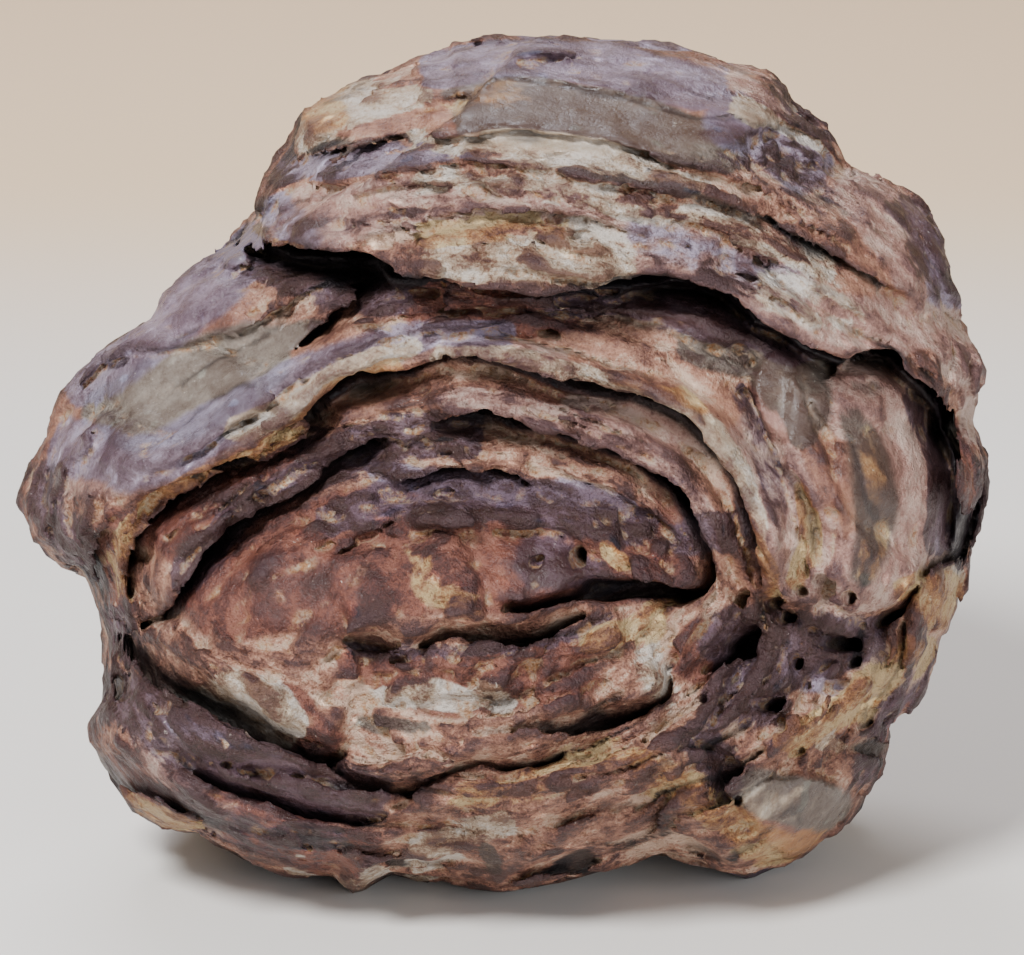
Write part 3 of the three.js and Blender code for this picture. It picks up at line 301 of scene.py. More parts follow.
# What colours the stone where, as soft strokes: (strength, path of (x, y, width)). A few strokes are partly painted
# shadow, glints or sheen, as noted at them. The rest is bare rust
STAINS_AND_PAINTED_LIGHT = {
    "cream": [
        (0.9, [(316, 128, 46), (350, 112, 34), (425, 97, 14)]),
        (0.8, [(415, 145, 12), (505, 146, 22), (560, 153, 28), (640, 168, 22), (700, 184, 14)]),
        (0.5, [(420, 188, 20), (500, 178, 28), (560, 188, 30), (640, 207, 28), (760, 240, 22), (825, 270, 20)]),
        (0.75, [(435, 263, 30), (500, 262, 40), (560, 260, 52), (605, 264, 44)]),
        (0.4, [(770, 290, 34), (810, 302, 40), (850, 316, 36)]), (0.8, [(738, 112, 20), (775, 128, 18), (814, 153, 16)]),
        (0.5, [(440, 362, 16), (500, 358, 18), (560, 372, 20), (620, 388, 26), (680, 412, 30), (720, 450, 30),
               (748, 510, 26), (757, 560, 20)]),
        (0.7, [(240, 432, 24), (300, 400, 26), (350, 368, 22), (410, 350, 20)]),
        (0.7, [(228, 690, 36), (268, 705, 42), (296, 724, 24)]), (0.7, [(388, 695, 14), (440, 690, 22), (505, 700, 16)]),
        (0.3, [(640, 640, 26), (656, 692, 30)]), (0.7, [(298, 866, 14), (350, 886, 20), (384, 870, 16)]),
        (0.7, [(418, 850, 22), (460, 835, 28), (505, 820, 18)]), (0.35, [(750, 800, 40), (800, 800, 40)]),
        (0.9, [(814, 735, 20), (828, 741, 14)]), (0.8, [(664, 763, 14), (673, 769, 12)]),
        (0.9, [(944, 578, 14), (956, 612, 14)]),
    ],
    "ochre": [
        (0.5, [(316, 120, 32), (338, 126, 26)]), (0.9, [(274, 251, 10), (302, 257, 8)]),
        (0.95, [(132, 592, 14), (127, 555, 15), (142, 515, 15), (190, 483, 12), (250, 458, 11), (300, 425, 11),
                (340, 393, 11), (398, 367, 10)]),
        (0.35, [(448, 106, 20), (490, 98, 28), (524, 101, 20)]), (0.5, [(428, 241, 20), (500, 232, 18), (562, 237, 14)]),
        (0.5, [(618, 380, 14), (680, 396, 16), (703, 410, 10)]), (0.8, [(735, 500, 12), (754, 550, 24), (767, 592, 24)]),
        (0.7, [(800, 490, 16), (806, 540, 20), (794, 582, 12)]), (0.3, [(868, 440, 30), (878, 510, 34), (866, 570, 24)]),
        (0.3, [(415, 550, 20), (430, 590, 26), (470, 606, 24)]), (0.9, [(604, 551, 14), (620, 561, 14)]),
        (0.5, [(588, 641, 24), (640, 630, 26), (662, 600, 20)]), (0.8, [(903, 590, 24), (940, 600, 38), (946, 642, 26)]),
        (0.9, [(908, 648, 22), (860, 690, 28), (830, 712, 24), (788, 736, 26)]),
        (0.6, [(638, 764, 30), (700, 795, 32), (760, 840, 36), (815, 838, 30)]),
        (0.6, [(84, 734, 10), (108, 768, 12), (150, 810, 14), (204, 826, 10)]),
        (0.4, [(468, 800, 34), (540, 775, 42), (604, 750, 34)]),
    ],
    "plum": [
        (0.5, [(718, 140, 40), (770, 165, 50), (822, 202, 36)]), (0.6, [(768, 72, 20), (800, 110, 32), (832, 132, 30)]),
        (0.7, [(903, 213, 36), (930, 245, 42), (946, 284, 30)]), (0.7, [(280, 180, 20), (334, 172, 10)]),
        (0.8, [(48, 480, 40), (50, 520, 44), (90, 560, 44), (96, 602, 34)]),
        (1, [(190, 575, 36), (215, 545, 38), (250, 512, 36), (300, 478, 34), (360, 452, 46), (420, 435, 46), (472, 446, 22)]),
        (0.95, [(330, 520, 30), (416, 490, 44), (480, 500, 44), (560, 512, 50), (625, 522, 42)]),
        (1, [(688, 535, 40), (724, 535, 36)]),
        (0.6, [(734, 393, 14), (755, 440, 22), (768, 490, 22), (776, 542, 16)]),
        # This stroke and the first on the next line, under the cap's lip right and left, are partly a painted shadow
        # under the lip
        (0.8, [(556, 305, 30), (640, 308, 40), (720, 325, 40), (794, 358, 24)]),
        (0.9, [(258, 269, 30), (330, 290, 42), (402, 301, 30)]), (0.8, [(538, 564, 50), (584, 576, 40)]),
        (0.9, [(905, 398, 22), (936, 470, 22), (938, 564, 22)]), (0.6, [(970, 440, 26), (976, 500, 26), (960, 560, 20)]),
        (0.9, [(110, 690, 50), (140, 705, 60), (200, 740, 72), (280, 770, 62), (364, 791, 50)]),
        (0.6, [(148, 799, 40), (240, 820, 50), (330, 835, 46)]),
        (1, [(728, 640, 60), (790, 650, 64), (854, 640, 50)]), (0.9, [(720, 700, 52), (764, 700, 40)]),
        (0.9, [(700, 738, 40), (726, 784, 30)]), (0.8, [(932, 648, 40), (900, 710, 64), (868, 772, 50)]),
        (0.8, [(118, 618, 30), (142, 652, 30)]), (0.5, [(558, 860, 24), (640, 850, 20), (724, 861, 16)]),
        (0.8, [(358, 640, 14), (436, 650, 16), (540, 640, 20), (604, 620, 16)]),
        (0.45, [(300, 234, 24), (360, 230, 20), (430, 216, 14)]), (0.45, [(640, 254, 16), (720, 278, 20), (790, 308, 18)]),
    ],
    "lavender": [
        # The strokes on this line, over the cap's top, are partly a painted bluish sheen from the sky
        (0.8, [(436, 71, 30), (520, 60, 38), (620, 68, 42), (704, 89, 36)]), (0.7, [(730, 120, 44), (800, 170, 44)]),
        (0.8, [(288, 176, 14), (350, 168, 14), (420, 160, 12), (474, 155, 10)]), (0.5, [(300, 240, 46), (280, 212, 36)]),
        (0.9, [(90, 380, 50), (140, 330, 60), (200, 290, 60), (250, 260, 40)]),
        (0.75, [(80, 450, 50), (150, 460, 50), (230, 420, 45), (310, 380, 45), (400, 345, 30), (500, 335, 24)]),
        (0.6, [(940, 240, 40), (950, 290, 40)]),
        # The first stroke on this line, over the lens's top, is partly painted glints
        (0.6, [(380, 470, 20), (458, 490, 22), (540, 496, 28), (624, 510, 22)]), (0.5, [(740, 672, 24), (824, 681, 24)]),
        (0.4, [(178, 724, 14), (250, 745, 12), (334, 766, 12)]), (0.4, [(640, 240, 40), (720, 262, 40), (800, 290, 40)]),
    ],
    "red": [
        (1, [(235, 590, 80), (330, 565, 110), (430, 550, 100), (540, 550, 90), (650, 555, 70)]),
        (0.9, [(180, 540, 40), (230, 500, 40), (300, 455, 30)]), (0.7, [(360, 660, 30), (440, 680, 50), (560, 670, 60)]),
        (0.7, [(290, 700, 30), (330, 740, 30)]), (0.8, [(140, 760, 40), (240, 780, 40), (330, 800, 30)]),
        (0.5, [(470, 400, 30), (560, 415, 40), (640, 450, 44), (690, 520, 40)]),
        (0.7, [(120, 520, 30), (130, 600, 24)]), (0.7, [(950, 440, 30), (965, 520, 30)]),
        (0.8, [(690, 660, 40), (700, 640, 30)]), (0.8, [(420, 310, 30), (520, 320, 36), (640, 290, 30), (740, 300, 30)]),
        (0.7, [(880, 760, 50), (900, 720, 40)]), (0.6, [(250, 830, 40), (360, 850, 40)]),
    ],
    "pink": [
        (0.8, [(860, 200, 50), (910, 250, 50), (940, 320, 50)]),
        (0.9, [(300, 225, 50), (360, 215, 50), (440, 205, 40), (540, 205, 40), (640, 225, 40)]),
        (0.9, [(640, 250, 50), (740, 285, 50), (820, 320, 50), (900, 330, 50)]),
        (0.8, [(90, 470, 50), (150, 450, 50), (240, 420, 40), (330, 370, 40)]),
        (0.9, [(760, 440, 50), (790, 520, 60), (830, 580, 60), (880, 560, 50)]),
        (1, [(840, 400, 60), (900, 440, 50), (900, 540, 50)]), (0.7, [(590, 400, 40), (680, 440, 40)]),
        (0.7, [(400, 350, 24), (480, 352, 24), (560, 366, 24)]), (0.6, [(700, 80, 40), (780, 120, 40)]),
        (0.6, [(450, 398, 24), (560, 425, 30), (650, 465, 34), (700, 520, 30)]), (0.9, [(790, 560, 50), (840, 590, 50)]),
        (0.6, [(960, 350, 50), (975, 420, 40)]), (0.5, [(160, 740, 50), (190, 780, 40)]),
    ],
    "olive": [
        (0.95, [(478, 118, 40), (560, 118, 52), (650, 128, 52), (724, 151, 36)]),
        (0.6, [(448, 95, 18), (520, 88, 22), (604, 101, 16)]), (0.7, [(233, 241, 50), (267, 213, 30)]),
        (0.85, [(688, 345, 30), (760, 360, 56), (800, 400, 58), (801, 432, 30)]),
        (0.6, [(850, 420, 30), (870, 470, 44), (876, 520, 44), (861, 572, 30)]),
        (0.7, [(620, 392, 16), (690, 418, 20), (728, 460, 22), (745, 505, 20)]),
        (0.7, [(363, 722, 14), (424, 722, 14)]), (0.8, [(484, 849, 12), (496, 864, 12)]),
        (0.6, [(340, 150, 10), (420, 146, 10)]), (0.6, [(560, 168, 10), (660, 186, 12), (760, 222, 12), (820, 250, 10)]),
    ],
    "grey": [
        (0.95, [(128, 416, 60), (190, 390, 84), (254, 359, 60)]), (0.6, [(268, 341, 36), (314, 329, 20)]),
        (0.8, [(758, 790, 42), (814, 801, 46)]),
    ],
}


def smooth(value, low, high):
    """0 at low, 1 at high, and a soft S between"""
    share = np.clip((value - low) / (high - low), 0, 1)
    return share * share * (3 - 2 * share)


def trace(path, spacing=5):
    """Points (x, y, width) close together on a Catmull-Rom curve through a path"""
    points = np.array([(p[0], p[1], p[2] if len(p) > 2 else 0) for p in path], float)
    ends = np.vstack([2 * points[0] - points[1], points, 2 * points[-1] - points[-2]])
    pieces = []
    for a, b, c, d in zip(ends, ends[1:], ends[2:], ends[3:]):
        count = max(2, int(math.dist(b[:2], c[:2]) / spacing))
        t = np.arange(count)[:, None] / count
        pieces.append(b + 0.5 * t * (c - a + t * (2 * a - 5 * b + 4 * c - d + t * (3 * b - a - 3 * c + d))))
    return np.vstack(pieces + [points[-1:]])


def nearest(samples, x, y):
    """Distance, side (negative on the left), width and share of the nearest place on a traced curve"""
    best = np.full(x.shape, np.inf)
    side, width, share = np.zeros(x.shape), np.zeros(x.shape), np.zeros(x.shape)
    for index, (a, b) in enumerate(zip(samples, samples[1:])):
        dx, dy = b[0] - a[0], b[1] - a[1]
        along = np.clip(((x - a[0]) * dx + (y - a[1]) * dy) / (dx * dx + dy * dy), 0, 1)
        ox, oy = x - a[0] - along * dx, y - a[1] - along * dy
        distance = np.hypot(ox, oy)
        closer = distance < best
        best = np.where(closer, distance, best)
        side = np.where(closer, np.sign(dx * oy - dy * ox), side)
        width = np.where(closer, a[2] + along * (b[2] - a[2]), width)
        share = np.where(closer, (index + along) / (len(samples) - 1), share)
    return best, np.where(side == 0, 1, side), width, share


def draw(picture, path, margin, paint):
    """Calls paint(area, distance, side, width, share) on the part of a picture map near a path"""
    samples = trace(path)
    low = np.clip((samples[:, :2].min(0) - margin) / MAP_STEP, 0, None).astype(int)
    high = ((samples[:, :2].max(0) + margin) / MAP_STEP).astype(int) + 1
    window = np.s_[low[1]:high[1], low[0]:high[0]]
    area = picture[window]
    rows, columns = np.indices(area.shape)
    x, y = (columns + low[0]) * MAP_STEP, (rows + low[1]) * MAP_STEP
    picture[window] = paint(area, *nearest(samples, x, y))


def fade(share, length=0.1):
    return smooth(share, 0, length) * smooth(1 - share, 0, length)


MAP_SHAPE = (PICTURE_SIZE[1] // MAP_STEP + 6, PICTURE_SIZE[0] // MAP_STEP + 6)


def relief_maps():
    """Height of the front without its openings, and the depth of the openings, in mm"""
    surface, opening = np.zeros(MAP_SHAPE), np.zeros(MAP_SHAPE)
    rows, columns = np.indices(MAP_SHAPE)
    x, y = columns * MAP_STEP, rows * MAP_STEP
    for cx, cy, half_width, half_height, rise in SWELLS:
        surface += rise * np.exp(-((x - cx) / half_width) ** 2 - ((y - cy) / half_height) ** 2)
    for rise, reach, path in LEDGES.values():
        def raise_side(area, distance, side, width, share):
            inside = -side * distance * MM_PER_PIXEL
            fall = np.exp(-np.maximum(inside, 0) / reach)
            return area + rise * fall * fade(share) * smooth(inside, -EDGE_SOFTNESS, EDGE_SOFTNESS)
        draw(surface, path, 4 * reach / MM_PER_PIXEL, raise_side)
    for height, path in RIBS.values():
        def raise_rib(area, distance, side, width, share):
            across = 2 * distance / width
            return area + height * fade(share) * np.sqrt(np.clip(1 - across * across, 0, 1))
        draw(surface, path, 40, raise_rib)
    for depth, path in GAPS.values():
        def open_gap(area, distance, side, width, share):
            across = 2 * distance / (width + 3)
            return np.maximum(area, depth * smooth(1 - across * across, 0, 0.55))
        draw(opening, path, 40, open_gap)
    for cx, cy, width, height, depth in PITS:
        across = ((x - cx) / (width / 2 + 3)) ** 2 + ((y - cy) / (height / 2 + 3)) ** 2
        across = across * (0.45 + 1.3 * noise(x / 8, y / 8, cx))
        opening = np.maximum(opening, depth * smooth(1 - across, 0, 0.55))
    return surface, opening


def radius_table(points, middle, steps=720):
    """Radius of a closed drawn contour at evenly spaced angles round a point"""
    offsets = np.array(points, float) - middle
    angles = np.arctan2(offsets[:, 1], offsets[:, 0]) % (2 * math.pi)
    radii = np.hypot(*offsets.T)
    order = np.argsort(angles)
    return np.interp(np.arange(steps) * 2 * math.pi / steps, angles[order], radii[order], period=2 * math.pi)


def at_angle(table, angle):
    place = (angle / (2 * math.pi) % 1) * len(table)
    step = place.astype(int) % len(table)
    return table[step] + (place - place.astype(int)) * (table[(step + 1) % len(table)] - table[step])


def blur_ring(table, spread):
    return np.mean([np.roll(table, offset) for offset in range(-spread, spread + 1)], axis=0)


def layer_map():
    """Which layer lies at each point of the picture: 0 at the eye, LAYERS_PER_SHELL more at each contour"""
    rows, columns = np.indices(MAP_SHAPE)
    dx, dy = columns * MAP_STEP - EYE[0], rows * MAP_STEP - EYE[1]
    angle, radius = np.arctan2(dy, dx), np.hypot(dx, dy)
    inner = np.zeros(MAP_SHAPE)
    layer = np.zeros(MAP_SHAPE)
    for shell in SHELLS:
        outer = np.maximum(at_angle(blur_ring(radius_table(shell, EYE), 8), angle), inner + 10)
        layer += LAYERS_PER_SHELL * np.clip((radius - inner) / (outer - inner), 0, 1)
        inner = outer
    return layer + np.maximum(radius - inner, 0) / OUTER_LAYER


def smooth_map():
    rows, columns = np.indices(MAP_SHAPE)
    x, y = columns * MAP_STEP, rows * MAP_STEP
    most = np.zeros(MAP_SHAPE)
    for cx, cy, half_width, half_height, how_smooth in SMOOTH_PLACES:
        across = np.hypot((x - cx) / half_width, (y - cy) / half_height)
        most = np.maximum(most, how_smooth * (1 - smooth(across, 0.75, 1.1)))
    return most


def stain_and_light_maps():
    """How strongly each mineral colours each point of the picture, a few strokes partly as painted shadow, glints or
    sheen
    """
    maps = {}
    for mineral, strokes in STAINS_AND_PAINTED_LIGHT.items():
        maps[mineral] = np.zeros(MAP_SHAPE)
        for strength, path in strokes:
            def lay_stroke(area, distance, side, width, share):
                return np.maximum(area, strength * smooth(1 - distance / width, 0.1, 0.75))
            draw(maps[mineral], path, 70, lay_stroke)
    return maps


def widest_nearby(picture, reach):
    """Each point's largest value within reach map points, for finding narrow openings"""
    wide = picture
    for axis in (0, 1):
        wide = np.max([np.roll(wide, offset, axis) for offset in range(-reach, reach + 1)], axis=0)
    return wide


def sample(picture, x, y):
    """Values of a picture map between its points"""
    cx = np.clip(x / MAP_STEP, 0, picture.shape[1] - 1.001)
    cy = np.clip(y / MAP_STEP, 0, picture.shape[0] - 1.001)
    i, j = cx.astype(int), cy.astype(int)
    fx, fy = cx - i, cy - j
    upper = picture[j, i] * (1 - fx) + picture[j, i + 1] * fx
    lower = picture[j + 1, i] * (1 - fx) + picture[j + 1, i + 1] * fx
    return upper * (1 - fy) + lower * fy


def corner_value(i, j, k):
    value = np.sin(i * 127.1 + j * 311.7 + k * 74.7) * 43758.5453
    return value - np.floor(value)


def noise(x, y, z):
    """Smooth noise from 0 to 1 over a lattice of unit cells"""
    i, j, k = np.floor(x), np.floor(y), np.floor(z)
    fx, fy, fz = smooth(x - i, 0, 1), smooth(y - j, 0, 1), smooth(z - k, 0, 1)
    result = 0
    for dk, wk in ((0, 1 - fz), (1, fz)):
        for dj, wj in ((0, 1 - fy), (1, fy)):
            a, b = corner_value(i, j + dj, k + dk), corner_value(i + 1, j + dj, k + dk)
            result = result + wk * wj * (a + fx * (b - a))
    return result


def line_noise(value, seed, crisp=0.5):
    """Random steps along one number: flat over most of each unit and quick in between"""
    cell = np.floor(value)
    share = smooth(value - cell, 0.5 - crisp, 0.5 + crisp)
    a, b = corner_value(cell, seed, 0), corner_value(cell + 1, seed, 0)
    return a + share * (b - a)


def stairs(value):
    return np.floor(value) + smooth(value % 1, 0.72, 0.92)


def facets(points, layer, size, seed):
    """Height of broken faces about size mm across, longer along the layers, from about -0.5 to 0.5"""
    wander = 0.3 * np.stack([noise(*(points.T * 2.2 / size + shift + seed)) for shift in (0, 31, 57)], 1)
    place = points / size + wander + FACET_STRETCH / size * layer[:, None] * np.array([1.0, 0.6, 0.8])
    cell = np.floor(place)
    nearest_yet = np.full(len(points), np.inf)
    height = np.zeros(len(points))
    for offset in itertools.product((-1, 0, 1), repeat=3):
        i, j, k = (cell + offset).T
        jitter = np.stack([corner_value(i + seed, j, k), corner_value(i, j + seed, k), corner_value(j, k, i)], 1)
        tilt = jitter[:, [1, 2, 0]] - 0.5
        value = corner_value(k, i, j + seed)
        apart = place - cell - offset - jitter
        distance = np.sqrt((apart ** 2).sum(1))
        closer = distance < nearest_yet
        nearest_yet = np.where(closer, distance, nearest_yet)
        height = np.where(closer, 1.3 * (apart * tilt).sum(1) + 0.5 * (value - 0.5), height)
    return np.minimum(height, FACET_TOP)


def peels(points, layer):
    """Thin layers that have peeled away in patches: height in mm in crisp steps, and a random number from 0
    to 1 that is the same all over a step"""
    height, own = 0, 0
    for number, (size, count, thickness) in enumerate(PEELS):
        x, y, z = ((points + PEEL_STRETCH * layer[:, None] * np.array([0.5, 0.6, 1.0])) / size).T
        patch = 0.7 * noise(x, y + 5, z) + 0.3 * noise(2.7 * x, 2.7 * y, 2.7 * z + 7)
        level = count * patch
        height = height + thickness * (np.floor(level) + smooth(level % 1, 0.8, 0.97) - count / 2)
        own = own + 0.5 * corner_value(np.floor(level + 0.1), number + 3, 11)
    return height, own


SURFACE, OPENING = relief_maps()
NEAR_OPENING = widest_nearby(OPENING, 4)
LAYER = layer_map()
SMOOTHNESS = smooth_map()
STAIN_AND_LIGHT_MAPS = stain_and_light_maps()
DRAWN_OUTLINE = radius_table(OUTLINE, OUTLINE_MIDDLE)
WORN_OUTLINE = blur_ring(DRAWN_OUTLINE, WORN_SPREAD)
SIN, COS = math.sin(VIEW_ELEVATION), math.cos(VIEW_ELEVATION)


def to_picture(points):
    """Picture x and y, and mm towards the viewer, of points in the part's frame"""
    across = points[:, 0] - MIDDLE[0]
    behind = points[:, 1] - MIDDLE[1]
    up = points[:, 2] - REST_HEIGHT
    toward = -behind * COS + up * SIN
    zoom = VIEW_DISTANCE / (VIEW_DISTANCE - toward) / MM_PER_PIXEL
    return PICTURE_MIDDLE[0] + across * zoom, PICTURE_MIDDLE[1] - (behind * SIN + up * COS) * zoom, toward


def ellipsoid(share, limit, toward):
    depth = np.where(toward > 0, FRONT_DEPTH, BACK_DEPTH)
    roundness = np.where(toward > 0, FRONT_ROUNDNESS, BACK_ROUNDNESS)
    gauge = (share ** roundness + np.abs(toward / depth) ** roundness) ** (1 / roundness)
    return np.hypot(share * limit * MM_PER_PIXEL, toward) * (1 - 1 / np.maximum(gauge, 0.05))


def ragged(points):
    """A small wander of picture places, so that drawn edges break like stone"""
    x, y, z = points.T
    wander_x, wander_y = 0, 0
    for size, reach in ((7.0, 7.0), (2.6, 4.0), (1.1, 2.0)):
        wander_x = wander_x + reach * (noise(x / size + 11, y / size, z / size) - 0.5)
        wander_y = wander_y + reach * (noise(x / size, y / size + 23, z / size) - 0.5)
    return wander_x, wander_y


def survey(points):
    """Where points lie on the stone, as the drawn maps see them"""
    px, py, toward = to_picture(points)
    ox, oy = px - OUTLINE_MIDDLE[0], py - OUTLINE_MIDDLE[1]
    angle = np.arctan2(oy, ox)
    worn = 1 - smooth(toward, WORN_TO, WORN_FROM)
    limit = at_angle(DRAWN_OUTLINE, angle) * (1 - worn) + at_angle(WORN_OUTLINE, angle) * worn
    share = np.hypot(ox, oy) / limit
    wander_x, wander_y = ragged(points)
    qx, qy = px + wander_x, py + wander_y
    dome = FRONT_DEPTH * np.maximum(0, 1 - share ** FRONT_ROUNDNESS) ** (1 / FRONT_ROUNDNESS)
    below = np.maximum(0, dome + sample(SURFACE, qx, qy) - toward)
    ex, ey = qx - EYE[0], qy - EYE[1]
    lean = GAP_LEAN * np.minimum(below, LEAN_LIMIT) / MM_PER_PIXEL / np.maximum(60, np.hypot(ex, ey))
    return {
        "share": share, "limit": limit, "toward": toward, "below": below,
        "x": qx - ex * lean, "y": qy - ey * lean, "front": smooth(toward, -14, 10),
    }


def cracks(layer, points):
    """Depth of the thin cracks between layers, which open and close along their length"""
    x, y, z = points.T
    drift = 0.6 * noise(x / 19, y / 19, z / 19) + 0.25 * noise(x / 6, y / 6, z / 6)
    apart = LAYERS_PER_CRACK * np.abs((layer / LAYERS_PER_CRACK + drift) % 1 - 0.5)
    opened = smooth(noise(x / 12 + 2, y / 12, z / 12), 0.46, 0.6) * smooth(layer, 6, 10)
    return CRACK_DEPTH * opened * (1 - smooth(apart, 0.15, 0.6))


def layer_relief(layer, points):
    """Height of the laminae: steps of random height that fade in and out along their length"""
    x, y, z = points.T
    drift = 1.6 * noise(x / 19, y / 19, z / 19) + 0.7 * noise(x / 6, y / 6, z / 6)
    strong = smooth(noise(x / 12 + 5, y / 12, z / 12), 0.3, 0.7)
    thick = 2.6 * (0.3 + 0.7 * strong) * (line_noise(layer * 0.7 + drift, 3, 0.12) - 0.5)
    thin = 0.9 * (1 - strong) * (line_noise(layer * 1.5 + 2 * drift, 9, 0.2) - 0.5)
    outside_eye = smooth(layer, 6, 14)
    return (thick + thin) * outside_eye


def crust(points):
    """Lumps all over, and knobs and grains of the crust, rougher in some places than in others"""
    x, y, z = points.T
    lumps = LUMP_HEIGHT * (noise(x / LUMP_SPREAD, y / LUMP_SPREAD, z / LUMP_SPREAD) - 0.5)
    rough = 0.3 + 0.9 * smooth(noise(x / 15 + 8, y / 15, z / 11), 0.3, 0.75)
    knobs = 0.5 * (noise(x / 5.1, y / 5.1, z / 4.6 + 9) - 0.5)
    grains = 0.5 * (noise(x / 2.1, y / 2.1, z / 1.9 + 4) - 0.5)
    specks = 0.4 * (noise(x / 1.1 + 3, y / 1.1, z / 1.1) - 0.5)
    return lumps, rough * (knobs + grains + specks)


def stone(points):
    """The field: negative inside the stone, positive outside, about in mm near the surface"""
    place = survey(points)
    calm = sample(SMOOTHNESS, place["x"], place["y"]) * place["front"]
    layer = sample(LAYER, place["x"], place["y"])
    height = sample(SURFACE, place["x"], place["y"]) - sample(OPENING, place["x"], place["y"])
    height = height + (layer_relief(layer, points) - cracks(layer, points)) * (1 - 0.85 * calm)
    distance = ellipsoid(place["share"], place["limit"], place["toward"] - height * place["front"])
    lumps, grain = crust(points - [MIDDLE[0], MIDDLE[1], REST_HEIGHT])
    distance = distance + flakes(points, place["toward"]) + lumps
    return distance + grain * (1 - 0.8 * calm)


def flakes(points, toward):
    """Outer layers that have broken off the back and sides in steps"""
    across, behind, up = points[:, 0] - MIDDLE[0], points[:, 1] - MIDDLE[1], points[:, 2] - REST_HEIGHT
    foot = smooth(points[:, 2], FOOT_HEIGHT / 3, FOOT_HEIGHT)
    away = (1 - smooth(toward, -16, -2)) * foot
    patch = noise(across / FLAKE_SPREAD + 7.3, behind / FLAKE_SPREAD + 2.1, up / FLAKE_SPREAD + 4.9)
    torn = 0.25 * noise(across / 7, behind / 7, up / 7)
    return FLAKE_THICKNESS * stairs(FLAKE_LAYERS * (patch + torn)) * away


def layer_at(place, points):
    """The layer at surveyed points: the drawn one in front, and a wild one at the back"""
    across, behind, up = (points - [MIDDLE[0], MIDDLE[1], REST_HEIGHT]).T
    drawn = sample(LAYER, place["x"], place["y"])
    wild = 30 + 16 * noise(across / 41, behind / 41, up / 27)
    return drawn * place["front"] + wild * (1 - place["front"])


def facet_height(points, names):
    """How far the broken faces stand out of the surface, less inside the gaps and on smooth flint"""
    place = survey(points)
    layer = layer_at(place, points)
    calm = sample(SMOOTHNESS, place["x"], place["y"]) * place["front"]
    calm = np.maximum(calm, 0.6 * smooth(place["share"], 0.86, 0.98))
    opened = smooth(sample(NEAR_OPENING, place["x"], place["y"]), 0.3, 2)
    deep = smooth(place["below"] * place["front"], 1.5, 5) * opened
    height = 0
    for size, rise, seed in (FACETS[name] for name in names):
        height = height + rise * facets(points, layer, size, seed)
    if "large" in names:
        height = height + peels(points, layer)[0]
    return height * (1 - 0.85 * calm) * (1 - 0.6 * deep) * smooth(points[:, 2], 0.5, 4)


def between(grid, low, step, points):
    """Values of a grid between its points"""
    place = (points - low) / step
    cell = np.clip(np.floor(place).astype(int), 0, np.array(grid.shape) - 2)
    fx, fy, fz = np.clip(place - cell, 0, 1).T
    i, j, k = cell.T
    total = 0
    for di, dj, dk in itertools.product((0, 1), repeat=3):
        weight = np.abs(1 - di - fx) * np.abs(1 - dj - fy) * np.abs(1 - dk - fz)
        total = total + weight * grid[i + di, j + dj, k + dk]
    return total


def chip_grid(near, low):
    """Height of the larger broken faces on a grid of its own, worked out only near the surface"""
    times = round(FINE_STEP * COARSE / CHIP_STEP)
    near = np.repeat(np.repeat(np.repeat(near, times, 0), times, 1), times, 2)
    chips = np.zeros(near.shape)
    cells = np.argwhere(near)
    points = low + (cells + 0.5) * CHIP_STEP
    parts = np.array_split(points, max(1, len(points) // 300000))
    chips[tuple(cells.T)] = np.concatenate([facet_height(part, ("large", "middle")) for part in parts])
    return chips


def field_grid():
    """The stone's field on a fine grid, worked out only near the surface and in the openings"""
    block = FINE_STEP * COARSE
    low = np.array([-66.0, -56.0, -4.0])
    counts = np.ceil((np.array([66.0, 56.0, 114.0]) - low) / block).astype(int)
    indices = np.indices(counts).reshape(3, -1).T
    centres = low + (indices + 0.5) * block
    values = np.concatenate([stone(part) for part in np.array_split(centres, 8)])
    place = survey(centres)
    opened = sample(widest_nearby(OPENING, 10), place["x"], place["y"]) * place["front"]
    closed = ellipsoid(place["share"], place["limit"],
                       place["toward"] - sample(SURFACE, place["x"], place["y"]) * place["front"])
    inside = (values < 0).reshape(counts)
    changing = np.zeros(counts, bool)
    for axis in range(3):
        for offset in (-1, 1):
            changing |= np.roll(inside, offset, axis) != inside
    near = (np.abs(values) < 2.4) | changing.ravel() | ((opened > 0.3) & (closed < 3) & (closed > -opened - 3))
    shape = counts * COARSE
    grid = np.repeat(np.repeat(np.repeat(values.reshape(counts), COARSE, 0), COARSE, 1), COARSE, 2)
    fine = np.indices((COARSE, COARSE, COARSE)).reshape(3, -1).T
    cells = (indices[near][:, None, :] * COARSE + fine[None]).reshape(-1, 3)
    points = low + (cells + 0.5) * FINE_STEP
    chips = chip_grid(near.reshape(counts), low)
    parts = max(1, len(points) // 300000)
    grid[tuple(cells.T)] = np.concatenate([
        stone(part) - between(chips, low + 0.5 * CHIP_STEP, CHIP_STEP, part) for part in np.array_split(points, parts)])
    print("fine cells", len(points), "grid", shape)
    return grid.astype(np.float32), low + 0.5 * FINE_STEP


def surface_mesh(grid, low):
    """Vertices and faces of the field's zero surface"""
    volume = openvdb.FloatGrid(5.0)
    volume.copyFromArray(grid)
    points, triangles, quads = volume.convertToPolygons(0.0, 0.0)
    points = points * FINE_STEP + low
    return points, triangles, quads


def both_ways(edges):
    """Start and end vertices of a mesh's edges, each edge in both directions"""
    return np.vstack([edges, edges[:, ::-1]]).T


def face_edges(faces):
    return np.vstack([np.stack([face, np.roll(face, -1, 1)], -1).reshape(-1, 2) for face in faces if len(face)])


def largest_part(points, faces):
    """The mesh without loose crumbs and closed hollows"""
    start, end = both_ways(face_edges(faces))
    label = np.arange(len(points))
    while True:
        lower = label.copy()
        np.minimum.at(lower, start, label[end])
        lower = lower[lower[lower]]
        if (lower == label).all():
            break
        label = lower
    kept = label == np.bincount(label).argmax()
    number = np.cumsum(kept) - 1
    return points[kept], tuple(number[face[kept[face[:, 0]]]] for face in faces)


